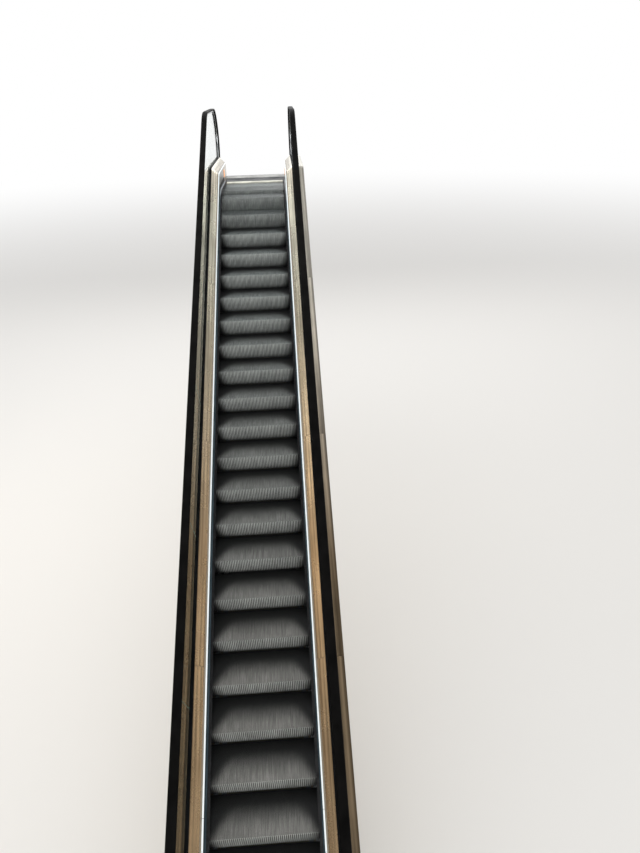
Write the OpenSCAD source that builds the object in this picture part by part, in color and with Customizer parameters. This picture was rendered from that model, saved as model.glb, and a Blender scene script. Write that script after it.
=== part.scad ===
// Escalator with glass balustrades, lower landing to upper landing.
// X runs across the steps, Y up the flight, Z up. All sizes in millimetres.
// The origin is the middle of the flat seat under the upper bearing angle.

/* [Flight] */
// Height from the lower landing plate to the upper landing plate
rise = 4850; // [3600:50:6000]
// Slope of the flight in degrees
incline = 30; // [27:1:35]
// Nominal width of a step tread
step_w = 1000; // [600:200:1000]
// Distance of one step nosing to the next along the slope
step_pitch = 405; // [400:1:410]
// Distance of the first nosing past the lower working point
step_phase = 330; // [0:5:400]
// Bend radius of the step path at the lower landing
bend_low = 1000; // [1000:100:1500]
// Bend radius of the step path at the upper landing
bend_up = 1000; // [1000:100:2000]
// Level distance from a working point to the comb tips
comb_run = 1140; // [1000:10:1300]
// Depth of the level treads below the landing plates
tread_drop = 16; // [14:1:20]

/* [Steps] */
// Number of cleats across a tread
cleats = 29; // [15:2:41]
// Height of a cleat above its groove
cleat_h = 10; // [8:1:12]
// Thickness of the tread plate under the grooves
tread_t = 12; // [8:1:16]
// Height of the curved riser below the tread
riser_h = 214; // [205:1:215]
// Radius of a step wheel
wheel_r = 38; // [30:1:40]

/* [Balustrade] */
// Height of the deck edge above the nosing line of the slope
deck_h = 220; // [200:5:260]
// Height of the deck edge above a landing plate
deck_end_h = 340; // [320:5:380]
// Height of the handrail top above the nosing line of the slope
rail_h = 900; // [880:5:950]
// Height of the handrail top above a landing plate
rail_end_h = 1095; // [1050:5:1110]
// Distance of the newel's outermost point past a working point
newel_run = 2050; // [1950:10:2150]
// Height of the handrail's return above a landing plate
inlet_h = 185; // [175:1:195]
// Width of the handrail
rail_w = 80; // [76:1:84]
// Thickness of the glass
glass_t = 10; // [8:1:12]
// Length of a full glass panel along the slope
glass_len = 1620; // [1200:10:2200]
// Reach of the skirt brush towards the steps
brush_reach = 48; // [30:1:55]

/* [Housing] */
// Depth of the truss below the nosing line, square to the slope
truss_depth = 880; // [800:10:950]
// Depth of the lower landing pan below the floor
pan_depth = 360; // [350:10:420]
// Depth of the truss end below the upper landing plate
upper_depth = 1050; // [950:10:1150]
// Length of a cladding panel along the slope
panel_len = 2180; // [1500:10:2600]
// Distance of the truss end past a working point
truss_run = 2110; // [2100:10:2300]

/* [Hidden] */
$fn = 64;

a = incline;
ta = tan(a);
yw = round(10 * rise / ta) / 10;
len_in = rise / sin(a);
sk = step_w / 2 + 4;
x_deck = step_w / 2 + 24;
x_ch = step_w / 2 + 112;
x_ch2 = x_ch + 46;
x_glass = (x_ch + x_ch2) / 2;
x_out = step_w / 2 + 275;
x_side = x_out - 8;
x_tr = step_w / 2 + 160;
x_tr2 = x_tr + 80;
n_drop = 75;
y_lo = -truss_run;
y_up = yw + truss_run;
y_comb_lo = -comb_run;
y_comb_up = yw + comb_run;
deck_run = newel_run - 300;
y_dk_lo = -deck_run;
y_dk_up = yw + deck_run;
// Handrail path: the line on which the handrail's inside face runs
rp = 12;
hr_h = rail_h - rp;
hr_end = rail_end_h - rp;
newel_r = (hr_end - inlet_h) / 2;
y_nw_lo = -(newel_run - rp - newel_r);
y_nw_up = yw + newel_run - rp - newel_r;
z_nw = hr_end - newel_r;
newel_back = 80;
// The return meets the deck end at this height; the guide stops before the inlet
collar_t = 16;
y_in = deck_run + collar_t / 2 - (newel_run - rp - newel_r);
z_in = z_nw - sqrt(newel_r * newel_r - y_in * y_in);
guide_back = acos((y_in + collar_t / 2 + 4) / (newel_r - 38));
bend_rail_lo = 700;
bend_rail_up = 700;
bend_deck = 260;
// Steps
pitch_c = step_w / (cleats - 0.55);
groove_w = pitch_c * 0.55;
tread_len = 400;
t1 = bend_low * tan(a / 2);
t2 = bend_up * tan(a / 2);
rad = a * PI / 180;
// Seat of the upper bearing, which is the origin
seat_drop = 160;
seat_y = y_up + 60;
seat_z = rise - seat_drop;
// Cladding sheet under the flight, joints of the cladding, drop of the end plates
skin_t = 6;
gap_t = 6;
end_drop = 40;

// Point of the step path, s measured along the slope from the lower working point
function slope_low(s) = a - (t1 - s) / bend_low * 180 / PI;
function slope_up(s) = a - (s - (len_in - t2)) / bend_up * 180 / PI;
function path_pt(s) =
    s < t1 - bend_low * rad ? [-t1 - (t1 - s - bend_low * rad), 0] :
    s < t1 ? [-t1 + bend_low * sin(slope_low(s)), bend_low * (1 - cos(slope_low(s)))] :
    s <= len_in - t2 ? [s * cos(a), s * sin(a)] :
    s < len_in - t2 + bend_up * rad ?
        [yw + t2 - bend_up * sin(slope_up(s)), rise - bend_up * (1 - cos(slope_up(s)))] :
    [yw + t2 + (s - (len_in - t2) - bend_up * rad), rise];

s_first = t1 - bend_low * rad - (comb_run - t1);
s_last = len_in - t2 + bend_up * rad + (comb_run - t2);
j_first = ceil((s_first - tread_len - step_phase) / step_pitch);
j_last = floor((s_last + 30 - step_phase) / step_pitch);
j_n = j_last - j_first + 1;
j1 = j_first + floor(j_n * 0.2);
j2 = j_first + floor(j_n * 0.5);
j3 = j_first + floor(j_n * 0.8);

// A bent run: level, bend, slope, bend, level
function bent_y1(h, za) = (za - h) / ta;
function bent_y2(h, zb) = (rise + zb - h) / ta;
// Points of the same run for outlines, m points in each bend
function bent_pts(h, za, zb, r1, r2, ya, yb, m = 6) = concat(
    [[ya, za]],
    [for (i = [0 : m]) let (w = a * i / m)
        [bent_y1(h, za) - r1 * tan(a / 2) + r1 * sin(w), za + r1 * (1 - cos(w))]],
    [for (i = [0 : m]) let (w = a * (1 - i / m))
        [bent_y2(h, zb) + r2 * tan(a / 2) - r2 * sin(w), rise + zb - r2 * (1 - cos(w))]],
    [[yb, rise + zb]]);
function back(v) = [for (i = [len(v) - 1 : -1 : 0]) v[i]];

module placed() {
    translate([0, -seat_y, -seat_z]) children();
}
module side(s) {
    if (s > 0) children();
    else mirror([1, 0, 0]) children();
}
// Extrudes an outline drawn in Y and Z along X
module along_x(x0, w) {
    translate([x0, 0, 0]) rotate([90, 0, 90]) linear_extrude(w) children();
}
// Extrudes a section drawn in X and height along Y
module straight(l) {
    translate([0, l, 0]) rotate([90, 0, 0]) linear_extrude(l) children();
}
// Turns a section about a line along X; up is towards the centre or away from it
module bend(yc, zc, r, w0, w1, away) {
    translate([0, yc, zc]) rotate([90, 0, 90]) rotate([0, 0, w0])
        rotate_extrude(angle = w1 - w0, $fn = 120)
            translate([r, 0])
                if (away) mirror([1, -1]) children();
                else rotate(90) children();
}
// The straight lengths stop e short of the bends, or run into them where e is below 0
module bent(h, za, zb, r1, r2, ya, yb, e = 0.2) {
    y1 = bent_y1(h, za);
    y2 = bent_y2(h, zb);
    u1 = r1 * tan(a / 2);
    u2 = r2 * tan(a / 2);
    ls = (y2 - y1) / cos(a) - u1 - u2;
    translate([0, ya, za]) straight(y1 - u1 - ya - e) children();
    bend(y1 - u1, za + r1, r1, -90, -90 + a, false) thinner(e) children();
    translate([0, y1 + u1 * cos(a), za + u1 * sin(a)]) rotate([a, 0, 0])
        translate([0, e, 0]) straight(ls - 2 * e) children();
    bend(y2 + u2, rise + zb - r2, r2, 90, 90 + a, true) thinner(e) children();
    translate([0, y2 + u2 + e, rise + zb]) straight(yb - y2 - u2 - e) children();
}
// Sections of bends that run together with straight lengths are a hair smaller
module thinner(e, xc = x_glass + 4, nc = -5.3) {
    if (e < 0) translate([xc, nc]) scale(0.996) translate([-xc, -nc]) children();
    else children();
}
// Runs parallel to the steps, offset up by n
module step_run(n, ya, yb) {
    bent(-tread_drop, -tread_drop, -tread_drop, bend_low, bend_up, ya, yb)
        translate([0, n]) children();
}
module deck_run(ya = y_dk_lo, yb = y_dk_up) {
    bent(deck_h, deck_end_h, deck_end_h, bend_deck, bend_deck, ya, yb) children();
}

// One step: tread plate, curved riser and cleats
module step_outline(t) {
    translate([0, -t]) square([tread_len, t]);
    intersection() {
        translate([tread_len, 0]) difference() {
            circle(r = tread_len, $fn = 180);
            circle(r = tread_len - t, $fn = 180);
        }
        translate([-1, -riser_h]) square([120, riser_h]);
    }
}
module groove_outline() {
    translate([-2, -cleat_h]) square([tread_len + 4, cleat_h + 2]);
    intersection() {
        translate([tread_len, 0]) difference() {
            circle(r = tread_len + 3, $fn = 180);
            circle(r = tread_len - cleat_h, $fn = 180);
        }
        translate([-5, -riser_h - 4]) square([120, riser_h + 4]);
    }
}
module step() {
    difference() {
        along_x(-step_w / 2, step_w) step_outline(cleat_h + tread_t);
        for (i = [0 : cleats - 2])
            along_x(-step_w / 2 + i * pitch_c + pitch_c - groove_w, groove_w) groove_outline();
    }
    for (s = [-1, 1]) side(s) along_x(arm_x, arm_t)
        polygon([[22, -21], [392, -21], [374, -160], [352, -208], [305, -208], [180, -112],
            [150, -212], [98, -212], [70, -170], [36, -110]]);
}
module step_group(ja, jb) {
    color([0.22, 0.23, 0.24]) placed()
        for (j = [ja : jb]) translate([0, path_pt(step_phase + j * step_pitch)[0],
            path_pt(step_phase + j * step_pitch)[1] - tread_drop]) step();
}
module steps_lower() {
    step_group(j_first, j1 - 1);
}
module steps_middle() {
    step_group(j1, j2 - 1);
}
module steps_upper() {
    step_group(j2, j3 - 1);
}
module steps_top() {
    step_group(j3, j_last);
}
// The front wheel runs outside the step's arm, the rear wheel inside it
arm_x = step_w / 2 - 92;
arm_t = 16;
wheel_w = 40;
wheels = [[122, -182, arm_x + arm_t], [330, -182, arm_x - wheel_w]];
module step_wheels() {
    color([0.1, 0.1, 0.1]) placed()
        for (j = [j_first : j_last])
            translate([0, path_pt(step_phase + j * step_pitch)[0],
                path_pt(step_phase + j * step_pitch)[1] - tread_drop])
                for (s = [-1, 1], w = wheels)
                    side(s) along_x(w[2], wheel_w) translate([w[0], w[1]]) circle(r = wheel_r, $fn = 48);
}
track_x = [arm_x + arm_t + 2, arm_x - wheel_w - 4];
track_w = wheel_w + 2;
track_t = 8;
module step_tracks() {
    color([0.45, 0.46, 0.48]) placed() for (s = [-1, 1]) side(s)
        for (k = [0, 1]) translate([0, wheels[k][0], wheels[k][1]])
            step_run(-wheel_r - track_t, y_comb_lo - 380, y_comb_up + 150)
                translate([track_x[k], 0]) square([track_w, track_t]);
}

// Combs: one tooth in every groove
module comb() {
    zt = -tread_drop;
    along_x(-step_w / 2, step_w)
        polygon([[48, -12], [48, -4], [66, 0], [190, 0], [190, -12]]);
    for (i = [0 : cleats - 2])
        along_x(-step_w / 2 + i * pitch_c + pitch_c - groove_w + 2.5, groove_w - 5)
            polygon([[0, zt - 6], [0, zt - 2], [6, zt + 2], [60, -1], [60, -10], [44, -12], [20, zt - 6]]);
}
module comb_upper() {
    color([0.75, 0.74, 0.7]) placed() translate([0, y_comb_up, rise]) comb();
}
module comb_lower() {
    color([0.75, 0.74, 0.7]) placed() translate([0, y_comb_lo, 0]) mirror([0, 1, 0]) comb();
}
module comb_plate() {
    difference() {
        along_x(-sk, 2 * sk)
            polygon([[190, -12], [190, 0], [430, 0], [430, -12]]);
        for (i = [0 : 13]) along_x(-sk + 20 + i * (2 * sk - 58) / 13, 18)
            polygon([[205, -2], [205, 1], [415, 1], [415, -2]]);
    }
}
module comb_plates() {
    color([0.6, 0.61, 0.62]) placed() {
        translate([0, y_comb_up, rise]) comb_plate();
        translate([0, y_comb_lo, 0]) mirror([0, 1, 0]) comb_plate();
    }
}

// Landing covers: one between the newel bases, one across the full width
module cover(x, y0, y1, ribs) {
    difference() {
        translate([-x, y0, -12]) cube([2 * x, y1 - y0, 12]);
        for (i = [0 : ribs - 1])
            translate([-x + 15, y0 + 12 + i * (y1 - y0 - 24) / ribs, -1.5])
                cube([2 * x - 30, (y1 - y0 - 24) / ribs / 2, 3]);
    }
}
module floor_plates() {
    cover(sk - 1, comb_run + 431, deck_run + 2, 8);
    cover(x_side - 13, deck_run + 3, truss_run - 21, 12);
}
module floor_plates_upper() {
    color([0.55, 0.56, 0.57]) placed() translate([0, yw, rise]) floor_plates();
}
module floor_plates_lower() {
    color([0.55, 0.56, 0.57]) placed() mirror([0, 1, 0]) floor_plates();
}
module landing_frame() {
    difference() {
        translate([-x_side, deck_run + 3, -100]) cube([2 * x_side, truss_run - deck_run - 3, 100]);
        translate([-x_side + 12, deck_run - 20, -12]) cube([2 * x_side - 24, truss_run - deck_run, 20]);
        translate([-x_side + 120, deck_run - 20, -120]) cube([2 * x_side - 240, truss_run - deck_run - 40, 140]);
    }
    for (y = [comb_run + 410, deck_run - 40])
        translate([-sk, y, -52]) cube([2 * sk, 40, 40]);
}
module landing_frames() {
    color([0.4, 0.41, 0.42]) placed() {
        translate([0, yw, rise]) landing_frame();
        mirror([0, 1, 0]) landing_frame();
    }
}

// Skirt from under the treads up to the edge strip
function deck_pts(n, ya, yb) = let (u = n * tan(a / 2))
    bent_pts(deck_h + n / cos(a), deck_end_h + n, deck_end_h + n,
        bend_deck - n, bend_deck + n, ya, yb);
module skirt_outline() {
    polygon(concat(
        bent_pts(-tread_drop - 150, -tread_drop - 130, -tread_drop - 130, bend_low, bend_up,
            y_comb_lo, y_comb_up),
        back(deck_pts(-n_drop - 13.5, y_comb_lo, y_comb_up))));
}
module skirt(s) {
    color([0.05, 0.05, 0.06]) placed() side(s) along_x(sk, 4) skirt_outline();
}
module skirt_left() {
    skirt(-1);
}
module skirt_right() {
    skirt(1);
}
module brush_holder(s) {
    color([0.42, 0.48, 0.53]) placed() side(s)
        step_run(28, y_comb_lo, y_comb_up) polygon([[sk, 0], [sk, 24], [sk - 8, 24],
            [sk - 22, 17], [sk - 22, 5], [sk - 8, 0]]);
}
module brush_holder_left() {
    brush_holder(-1);
}
module brush_holder_right() {
    brush_holder(1);
}
module bristles(s) {
    color([0.06, 0.06, 0.07]) placed() side(s)
        step_run(28, y_comb_lo, y_comb_up)
            translate([sk - brush_reach, 7]) square([brush_reach - 22, 8]);
}
module bristles_left() {
    bristles(-1);
}
module bristles_right() {
    bristles(1);
}

// Decks
module edge_strip(s) {
    color([0.93, 0.95, 0.95]) placed() side(s)
        deck_run() polygon([[sk - 5, -n_drop - 13], [x_deck, -n_drop - 13], [x_deck, -n_drop],
            [sk + 1, -n_drop - 2], [sk - 5, -n_drop - 6]]);
}
module edge_strip_left() {
    edge_strip(-1);
}
module edge_strip_right() {
    edge_strip(1);
}
module inner_deck(s) {
    color([0.72, 0.68, 0.6]) placed() side(s)
        deck_run() polygon([[x_deck, -n_drop - 7], [x_deck, -n_drop], [x_ch - 12, 0],
            [x_ch, 0], [x_ch, -8], [x_ch - 8, -8]]);
}
module inner_deck_left() {
    inner_deck(-1);
}
module inner_deck_right() {
    inner_deck(1);
}
module outer_deck(s) {
    color([0.72, 0.68, 0.6]) placed() side(s)
        deck_run() polygon([[x_ch2, -6], [x_ch2, 0], [x_out - 14, -4], [x_out, -14], [x_out, -45],
            [x_out - 8, -45], [x_out - 8, -18], [x_out - 16, -11]]);
}
module outer_deck_left() {
    outer_deck(-1);
}
module outer_deck_right() {
    outer_deck(1);
}
module glass_channels() {
    color([0.03, 0.03, 0.03]) placed() for (s = [-1, 1]) side(s)
        deck_run() difference() {
            translate([x_ch, -85]) square([x_ch2 - x_ch, 81]);
            translate([x_glass - glass_t / 2 - 0.3, -68]) square([glass_t + 0.6, 80]);
        }
}

// Glass: panels with open joints square to the slope, rounded newel panels
module glass_outline() {
    difference() {
        union() {
            polygon(concat(
                deck_pts(-68, y_nw_lo, y_nw_up),
                back(bent_pts(hr_h - 20 / cos(a), hr_end - 20, hr_end - 20,
                    bend_rail_lo + 20, bend_rail_up - 20, y_nw_lo, y_nw_up, 10))));
            translate([y_nw_lo, z_nw]) circle(r = newel_r - 20, $fn = 120);
            translate([y_nw_up, rise + z_nw]) circle(r = newel_r - 20, $fn = 120);
        }
        translate([y_dk_lo - collar_t - 4, -500]) square([1700, 500 + deck_end_h - 68]);
        translate([y_dk_up + collar_t + 4 - 1700, rise - 1000]) square([1700, 1000 + deck_end_h - 68]);
    }
}
glass_n = floor((len_in - 900) / glass_len);
glass_s0 = (len_in - glass_n * glass_len) / 2 + 120;
module glass_cut(s) {
    translate([s * cos(a), s * sin(a)]) rotate(a) translate([-2, -200]) square([4, 1500]);
}
module glass(s) {
    color([0.75, 0.88, 0.84, 0.45]) placed() side(s)
        along_x(x_glass - glass_t / 2, glass_t) difference() {
            glass_outline();
            for (i = [0 : glass_n]) glass_cut(glass_s0 + i * glass_len);
        }
}
module glass_left() {
    glass(-1);
}
module glass_right() {
    glass(1);
}

// Handrail: a C section round the newels, one fixed loop as far as it shows
module rail_loop(w) {
    bent(hr_h, hr_end, hr_end, bend_rail_lo, bend_rail_up, y_nw_lo - 0.5, y_nw_up + 0.5, -0.5) children();
    bend(y_nw_up, rise + z_nw, newel_r, -w, 90, true) thinner(-1) children();
    bend(y_nw_lo, z_nw, newel_r, 90, 180 + w, true) thinner(-1) children();
}
module handrail_section() {
    w = rail_w / 2;
    difference() {
        polygon(concat(
            [for (i = [0 : 8]) [w - 14 + 14 * sin(i * 22.5), -2 - 14 * cos(i * 22.5)]],
            [for (i = [0 : 8]) [-w + 14 - 14 * sin(i * 22.5), -2 + 14 * cos(i * 22.5)]]));
        translate([-w + 12, -8]) square([2 * w - 24, 9]);
        translate([-w + 24, -20]) square([2 * w - 48, 16]);
    }
}
module handrail(s) {
    color([0.03, 0.03, 0.03]) placed() side(s)
        rail_loop(newel_back) translate([x_glass + 4, 0]) handrail_section();
}
module handrail_left() {
    handrail(-1);
}
module handrail_right() {
    handrail(1);
}
module handrail_guide(s) {
    color([0.6, 0.61, 0.62]) placed() side(s)
        rail_loop(guide_back) translate([x_glass, 0]) difference() {
            union() {
                translate([-rail_w / 2 + 17, -6.5]) square([rail_w - 26, 7]);
                translate([-10, -38]) square([20, 32]);
            }
            translate([-glass_t / 2 - 0.3, -40]) square([glass_t + 0.6, 20]);
        }
}
module handrail_guide_left() {
    handrail_guide(-1);
}
module handrail_guide_right() {
    handrail_guide(1);
}

// Newel bases: closed boxes under the deck ends with the handrail inlet
module newel_base(s) {
    side(s) difference() {
        along_x(sk, x_side - sk)
            polygon([[comb_run, -100], [comb_run, deck_end_h - n_drop - 13],
                [deck_run, deck_end_h - n_drop - 13], [deck_run, -100]]);
        translate([x_glass + 4 - rail_w / 2 - 10, deck_run - 200, inlet_h - 20])
            cube([rail_w + 20, 300, 74]);
    }
}
module newel_bases_upper() {
    color([0.7, 0.69, 0.66]) placed() translate([0, yw, rise]) for (s = [-1, 1]) newel_base(s);
}
module newel_bases_lower() {
    color([0.7, 0.69, 0.66]) placed() mirror([0, 1, 0]) for (s = [-1, 1]) newel_base(s);
}
// Black collars round the handrails where they run into the newel bases
module inlet(s) {
    side(s) difference() {
        translate([x_glass + 4 - rail_w / 2 - 22, deck_run, z_in - 46]) cube([rail_w + 44, collar_t, 79]);
        translate([x_glass + 4 - rail_w / 2 - 4, deck_run - 5, z_in - 22]) cube([rail_w + 8, collar_t + 10, 47]);
    }
}
module handrail_inlets() {
    color([0.04, 0.04, 0.04]) placed() {
        translate([0, yw, rise]) for (s = [-1, 1]) inlet(s);
        mirror([0, 1, 0]) for (s = [-1, 1]) inlet(s);
    }
}
// Lamp frame with its lens, on the inner face just past the comb tips
module signal_lens(s) {
    side(s) difference() {
        translate([sk - 7, comb_run + 15, 90]) cube([7, 130, 110]);
        translate([sk - 8, comb_run + 25, 100]) cube([3, 110, 90]);
    }
    side(s) translate([sk - 5, comb_run + 27, 102]) cube([3, 106, 86]);
}
module signal_lenses() {
    color([1, 0.5, 0.1]) placed() {
        translate([0, yw, rise]) for (s = [-1, 1]) signal_lens(s);
        mirror([0, 1, 0]) for (s = [-1, 1]) signal_lens(s);
    }
}

// Structure
function top_pts(d) = bent_pts(-60 - d / cos(a), -100 - d, -100 - d, 600, 600, y_lo + d, y_up - d, 3);
y_b0 = (truss_depth / cos(a) - pan_depth) / ta;
y_b1 = yw + (truss_depth / cos(a) - upper_depth) / ta;
function low_pts(d) = [[y_lo + d, -pan_depth + d],
    [y_b0 - d * tan(a / 2), -pan_depth + d],
    [y_b1 - d * tan(a / 2), rise - upper_depth + d], [y_up - d, rise - upper_depth + d]];
module truss_outline(d) {
    polygon(concat(low_pts(d), back(top_pts(d))));
}
bays = round(yw / 1150);
bay = (yw + 600) / bays;
// Posts stand square to the slope and a diagonal crosses each bay
bay_s = bay / cos(a);
diag_a = atan((truss_depth - 130) / bay_s);
module truss_bars() {
    for (i = [0 : bays]) translate([-300 + i * bay, (-300 + i * bay) * ta]) rotate(a) {
        translate([-25, -1400]) square([50, 1500]);
        if (i < bays) translate([0, -90]) rotate(-diag_a)
            translate([0, -22]) square([bay_s / cos(diag_a), 44]);
    }
    for (y = [-1900, -1350, -800]) translate([y - 25, -500]) square([50, 500]);
    for (y = [yw + 900, yw + 1500]) translate([y - 25, rise - upper_depth - 50]) square([50, upper_depth + 50]);
}
module truss(s) {
    color([0.3, 0.32, 0.34]) placed() side(s) along_x(x_tr, x_tr2 - x_tr) union() {
        difference() {
            truss_outline(0);
            truss_outline(80);
        }
        intersection() {
            truss_bars();
            truss_outline(5);
        }
    }
}
module truss_left() {
    truss(-1);
}
module truss_right() {
    truss(1);
}
pad_t = 24;
function track_n(k) = (wheels[k][1] - tread_drop) * cos(a) - wheels[k][0] * sin(a) - wheel_r - track_t;
module cross_beams() {
    color([0.3, 0.32, 0.34]) placed()
        for (i = [1 : bays - 1]) let (y = -300 + i * bay)
            translate([0, y, y * ta]) rotate([a, 0, 0]) {
                translate([-x_tr, -30, -truss_depth + 5]) cube([2 * x_tr, 60, 70]);
                for (s = [-1, 1], k = [0, 1]) side(s)
                    translate([track_x[k], -20, track_n(k) - pad_t]) cube([x_tr - track_x[k], 40, pad_t]);
            }
}
// Brackets that carry the skirt and the glass channel on the truss
module bracket() {
    n0 = -60 * cos(a);
    translate([x_ch, -30, n0]) cube([x_tr + 40 - x_ch, 60, 6]);
    translate([x_ch, -30, n0]) cube([x_ch2 - x_ch, 60, deck_h * cos(a) - 85 - n0]);
    translate([sk + 4, -20, 30]) cube([x_ch - sk - 4, 40, 30]);
}
module balustrade_brackets() {
    color([0.45, 0.46, 0.48]) placed() for (s = [-1, 1]) side(s)
        for (i = [0 : 8]) let (q = 700 + i * (len_in - 1400) / 8)
            translate([0, q * cos(a), q * sin(a)]) rotate([a, 0, 0]) bracket();
}

// Cladding
module side_outline() {
    polygon(concat(
        [[y_lo, -3], [y_lo, -pan_depth - skin_t], [y_b0 + skin_t * tan(a / 2), -pan_depth - skin_t]],
        [[y_b1 + skin_t * tan(a / 2), rise - upper_depth - skin_t],
            [y_up, rise - upper_depth - skin_t], [y_up, rise - 3]],
        [[y_dk_up, rise - 3]],
        back(deck_pts(-45.5, y_dk_lo, y_dk_up)),
        [[y_dk_lo, -3]]));
}
side_n = floor((len_in - 600) / panel_len);
side_s0 = (len_in - side_n * panel_len) / 2;
module side_panels(s) {
    color([0.66, 0.6, 0.48]) placed() side(s)
        along_x(x_side, 8) difference() {
            side_outline();
            for (i = [0 : side_n]) let (q = side_s0 + i * panel_len)
                translate([q * cos(a), q * sin(a)]) rotate(a) translate([-gap_t / 2, -1500]) square([gap_t, 2500]);
        }
}
module side_panels_left() {
    side_panels(-1);
}
module side_panels_right() {
    side_panels(1);
}
// Panels under the truss, with joints at the knees and in line with the side panels
module soffit_panels() {
    color([0.62, 0.57, 0.46]) placed() along_x(-x_side, 2 * x_side) difference() {
        polygon([[y_lo, -pan_depth], [y_b0, -pan_depth], [y_b1, rise - upper_depth], [y_up, rise - upper_depth],
            [y_up, rise - upper_depth - skin_t], [y_b1 + skin_t * tan(a / 2), rise - upper_depth - skin_t],
            [y_b0 + skin_t * tan(a / 2), -pan_depth - skin_t], [y_lo, -pan_depth - skin_t]]);
        for (i = [1 : side_n]) let (q = side_s0 + i * panel_len)
            translate([q * cos(a), q * sin(a)]) rotate(a) translate([-gap_t / 2, -1500]) square([gap_t, 1200]);
        for (k = [[y_b0, -pan_depth], [y_b1, rise - upper_depth]])
            translate(k + [(skin_t * tan(a / 2) - gap_t) / 2, -skin_t - 5]) square([gap_t, skin_t + 10]);
    }
}
module end_plates() {
    color([0.5, 0.5, 0.5]) placed() {
        translate([-x_side, y_up, rise - upper_depth - skin_t])
            cube([2 * x_side, 8, upper_depth + skin_t - end_drop]);
        translate([-x_side, y_lo - 8, -pan_depth - skin_t])
            cube([2 * x_side, 8, pan_depth + skin_t - end_drop]);
    }
}

// Bearing angles; the flat seat of the upper one is the origin
module bearing() {
    difference() {
        along_x(-x_tr2, 2 * x_tr2) polygon([[8, 0], [8, 100], [24, 100], [24, 16], [120, 16], [120, 0]]);
        for (s = [-1, 1]) translate([s * (x_tr2 - 90), 72, -5]) cylinder(r = 11, h = 40, $fn = 48);
    }
    for (s = [-1, 1], x = [x_tr2 - 40, x_tr2 - 160]) along_x(s * x - 6, 12)
        polygon([[20, 14], [100, 14], [24, 90], [20, 90]]);
}
module upper_bearing() {
    color([0.35, 0.36, 0.38]) placed() translate([0, y_up, rise - seat_drop]) bearing();
}
module lower_bearing() {
    color([0.35, 0.36, 0.38]) placed() translate([0, y_lo, -seat_drop]) mirror([0, 1, 0]) bearing();
}

steps_lower();
steps_middle();
steps_upper();
steps_top();
step_wheels();
step_tracks();
comb_lower();
comb_upper();
comb_plates();
floor_plates_lower();
floor_plates_upper();
landing_frames();
skirt_left();
skirt_right();
brush_holder_left();
brush_holder_right();
bristles_left();
bristles_right();
edge_strip_left();
edge_strip_right();
inner_deck_left();
inner_deck_right();
outer_deck_left();
outer_deck_right();
glass_channels();
glass_left();
glass_right();
handrail_guide_left();
handrail_guide_right();
handrail_left();
handrail_right();
newel_bases_lower();
newel_bases_upper();
handrail_inlets();
signal_lenses();
balustrade_brackets();
truss_left();
truss_right();
cross_beams();
side_panels_left();
side_panels_right();
soffit_panels();
end_plates();
upper_bearing();
lower_bearing();
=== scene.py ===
# %% [markdown]
# An escalator with glass balustrades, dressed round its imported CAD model. The CAD part already says where
# every piece lies, so this lesson only adds what a camera sees: real cleat spacing, bristles, swept trims
# and finishes. The frame is loaded first, and its box is kept, because nothing here may make the machine
# larger.

# %% Load the frame
import bpy
import bmesh
import math
from types import SimpleNamespace
from mathutils import Matrix, Vector


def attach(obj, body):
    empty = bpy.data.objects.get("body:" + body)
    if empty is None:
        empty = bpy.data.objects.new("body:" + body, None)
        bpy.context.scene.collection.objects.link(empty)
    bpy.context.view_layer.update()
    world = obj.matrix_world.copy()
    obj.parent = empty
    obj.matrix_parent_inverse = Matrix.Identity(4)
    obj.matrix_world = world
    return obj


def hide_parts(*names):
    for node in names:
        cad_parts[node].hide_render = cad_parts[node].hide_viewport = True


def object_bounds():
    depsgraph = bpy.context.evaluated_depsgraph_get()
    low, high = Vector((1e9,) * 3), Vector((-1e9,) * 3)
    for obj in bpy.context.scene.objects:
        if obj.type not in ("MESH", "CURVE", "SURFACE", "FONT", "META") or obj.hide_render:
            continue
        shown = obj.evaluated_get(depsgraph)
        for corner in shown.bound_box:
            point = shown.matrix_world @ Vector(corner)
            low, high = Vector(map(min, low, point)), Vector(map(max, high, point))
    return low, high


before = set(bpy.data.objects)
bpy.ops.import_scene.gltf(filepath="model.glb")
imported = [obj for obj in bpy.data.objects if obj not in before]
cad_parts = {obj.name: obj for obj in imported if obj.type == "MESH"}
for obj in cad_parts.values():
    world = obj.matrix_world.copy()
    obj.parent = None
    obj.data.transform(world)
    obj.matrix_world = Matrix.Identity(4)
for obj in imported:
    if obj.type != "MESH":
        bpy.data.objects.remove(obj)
cad_box = [list(c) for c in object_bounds()]
print("CAD box", cad_box)

# %% [markdown]
# The drawing of the machine uses flight coordinates: X across the steps, Y and Z from the lower working
# point, the corner where the slope meets the lower landing. Keeping the same sizes here lets each piece be
# placed by rule. They are in metres, and one subtraction turns them into the frame's own coordinates.

# %% Sizes of the flight
RISE, SLOPE = 4.85, math.radians(30)
RUN = round(RISE / math.tan(SLOPE), 4)
LENGTH = RISE / math.sin(SLOPE)
SEAT = Vector((0, RUN + 2.17, RISE - 0.16))
STEP_W, PITCH, PHASE, TREAD = 1.0, 0.405, 0.33, 0.4
BEND_LOW, BEND_UP, COMB_RUN, TREAD_DROP = 1.0, 1.0, 1.14, 0.016
SKIRT_X, DECK_X, CHANNEL_X, CHANNEL_X2, OUT_X = 0.504, 0.524, 0.612, 0.658, 0.775
GLASS_X, RAIL_X = 0.635, 0.639
DECK_RUN, DECK_H, DECK_END, DECK_BEND = 1.75, 0.22, 0.34, 0.26
RAIL_H, RAIL_END, RAIL_BEND = 0.888, 1.083, 0.7
NEWEL_R, NEWEL_RUN, NEWEL_Z = 0.449, 1.589, 0.634
TRUSS_RUN, SIDE_X = 2.11, 0.767
SIDES = {"left": -1, "right": 1}
STEP_NODES = ("steps_lower", "steps_middle", "steps_upper", "steps_top")
UV = "UVMap"


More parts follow.
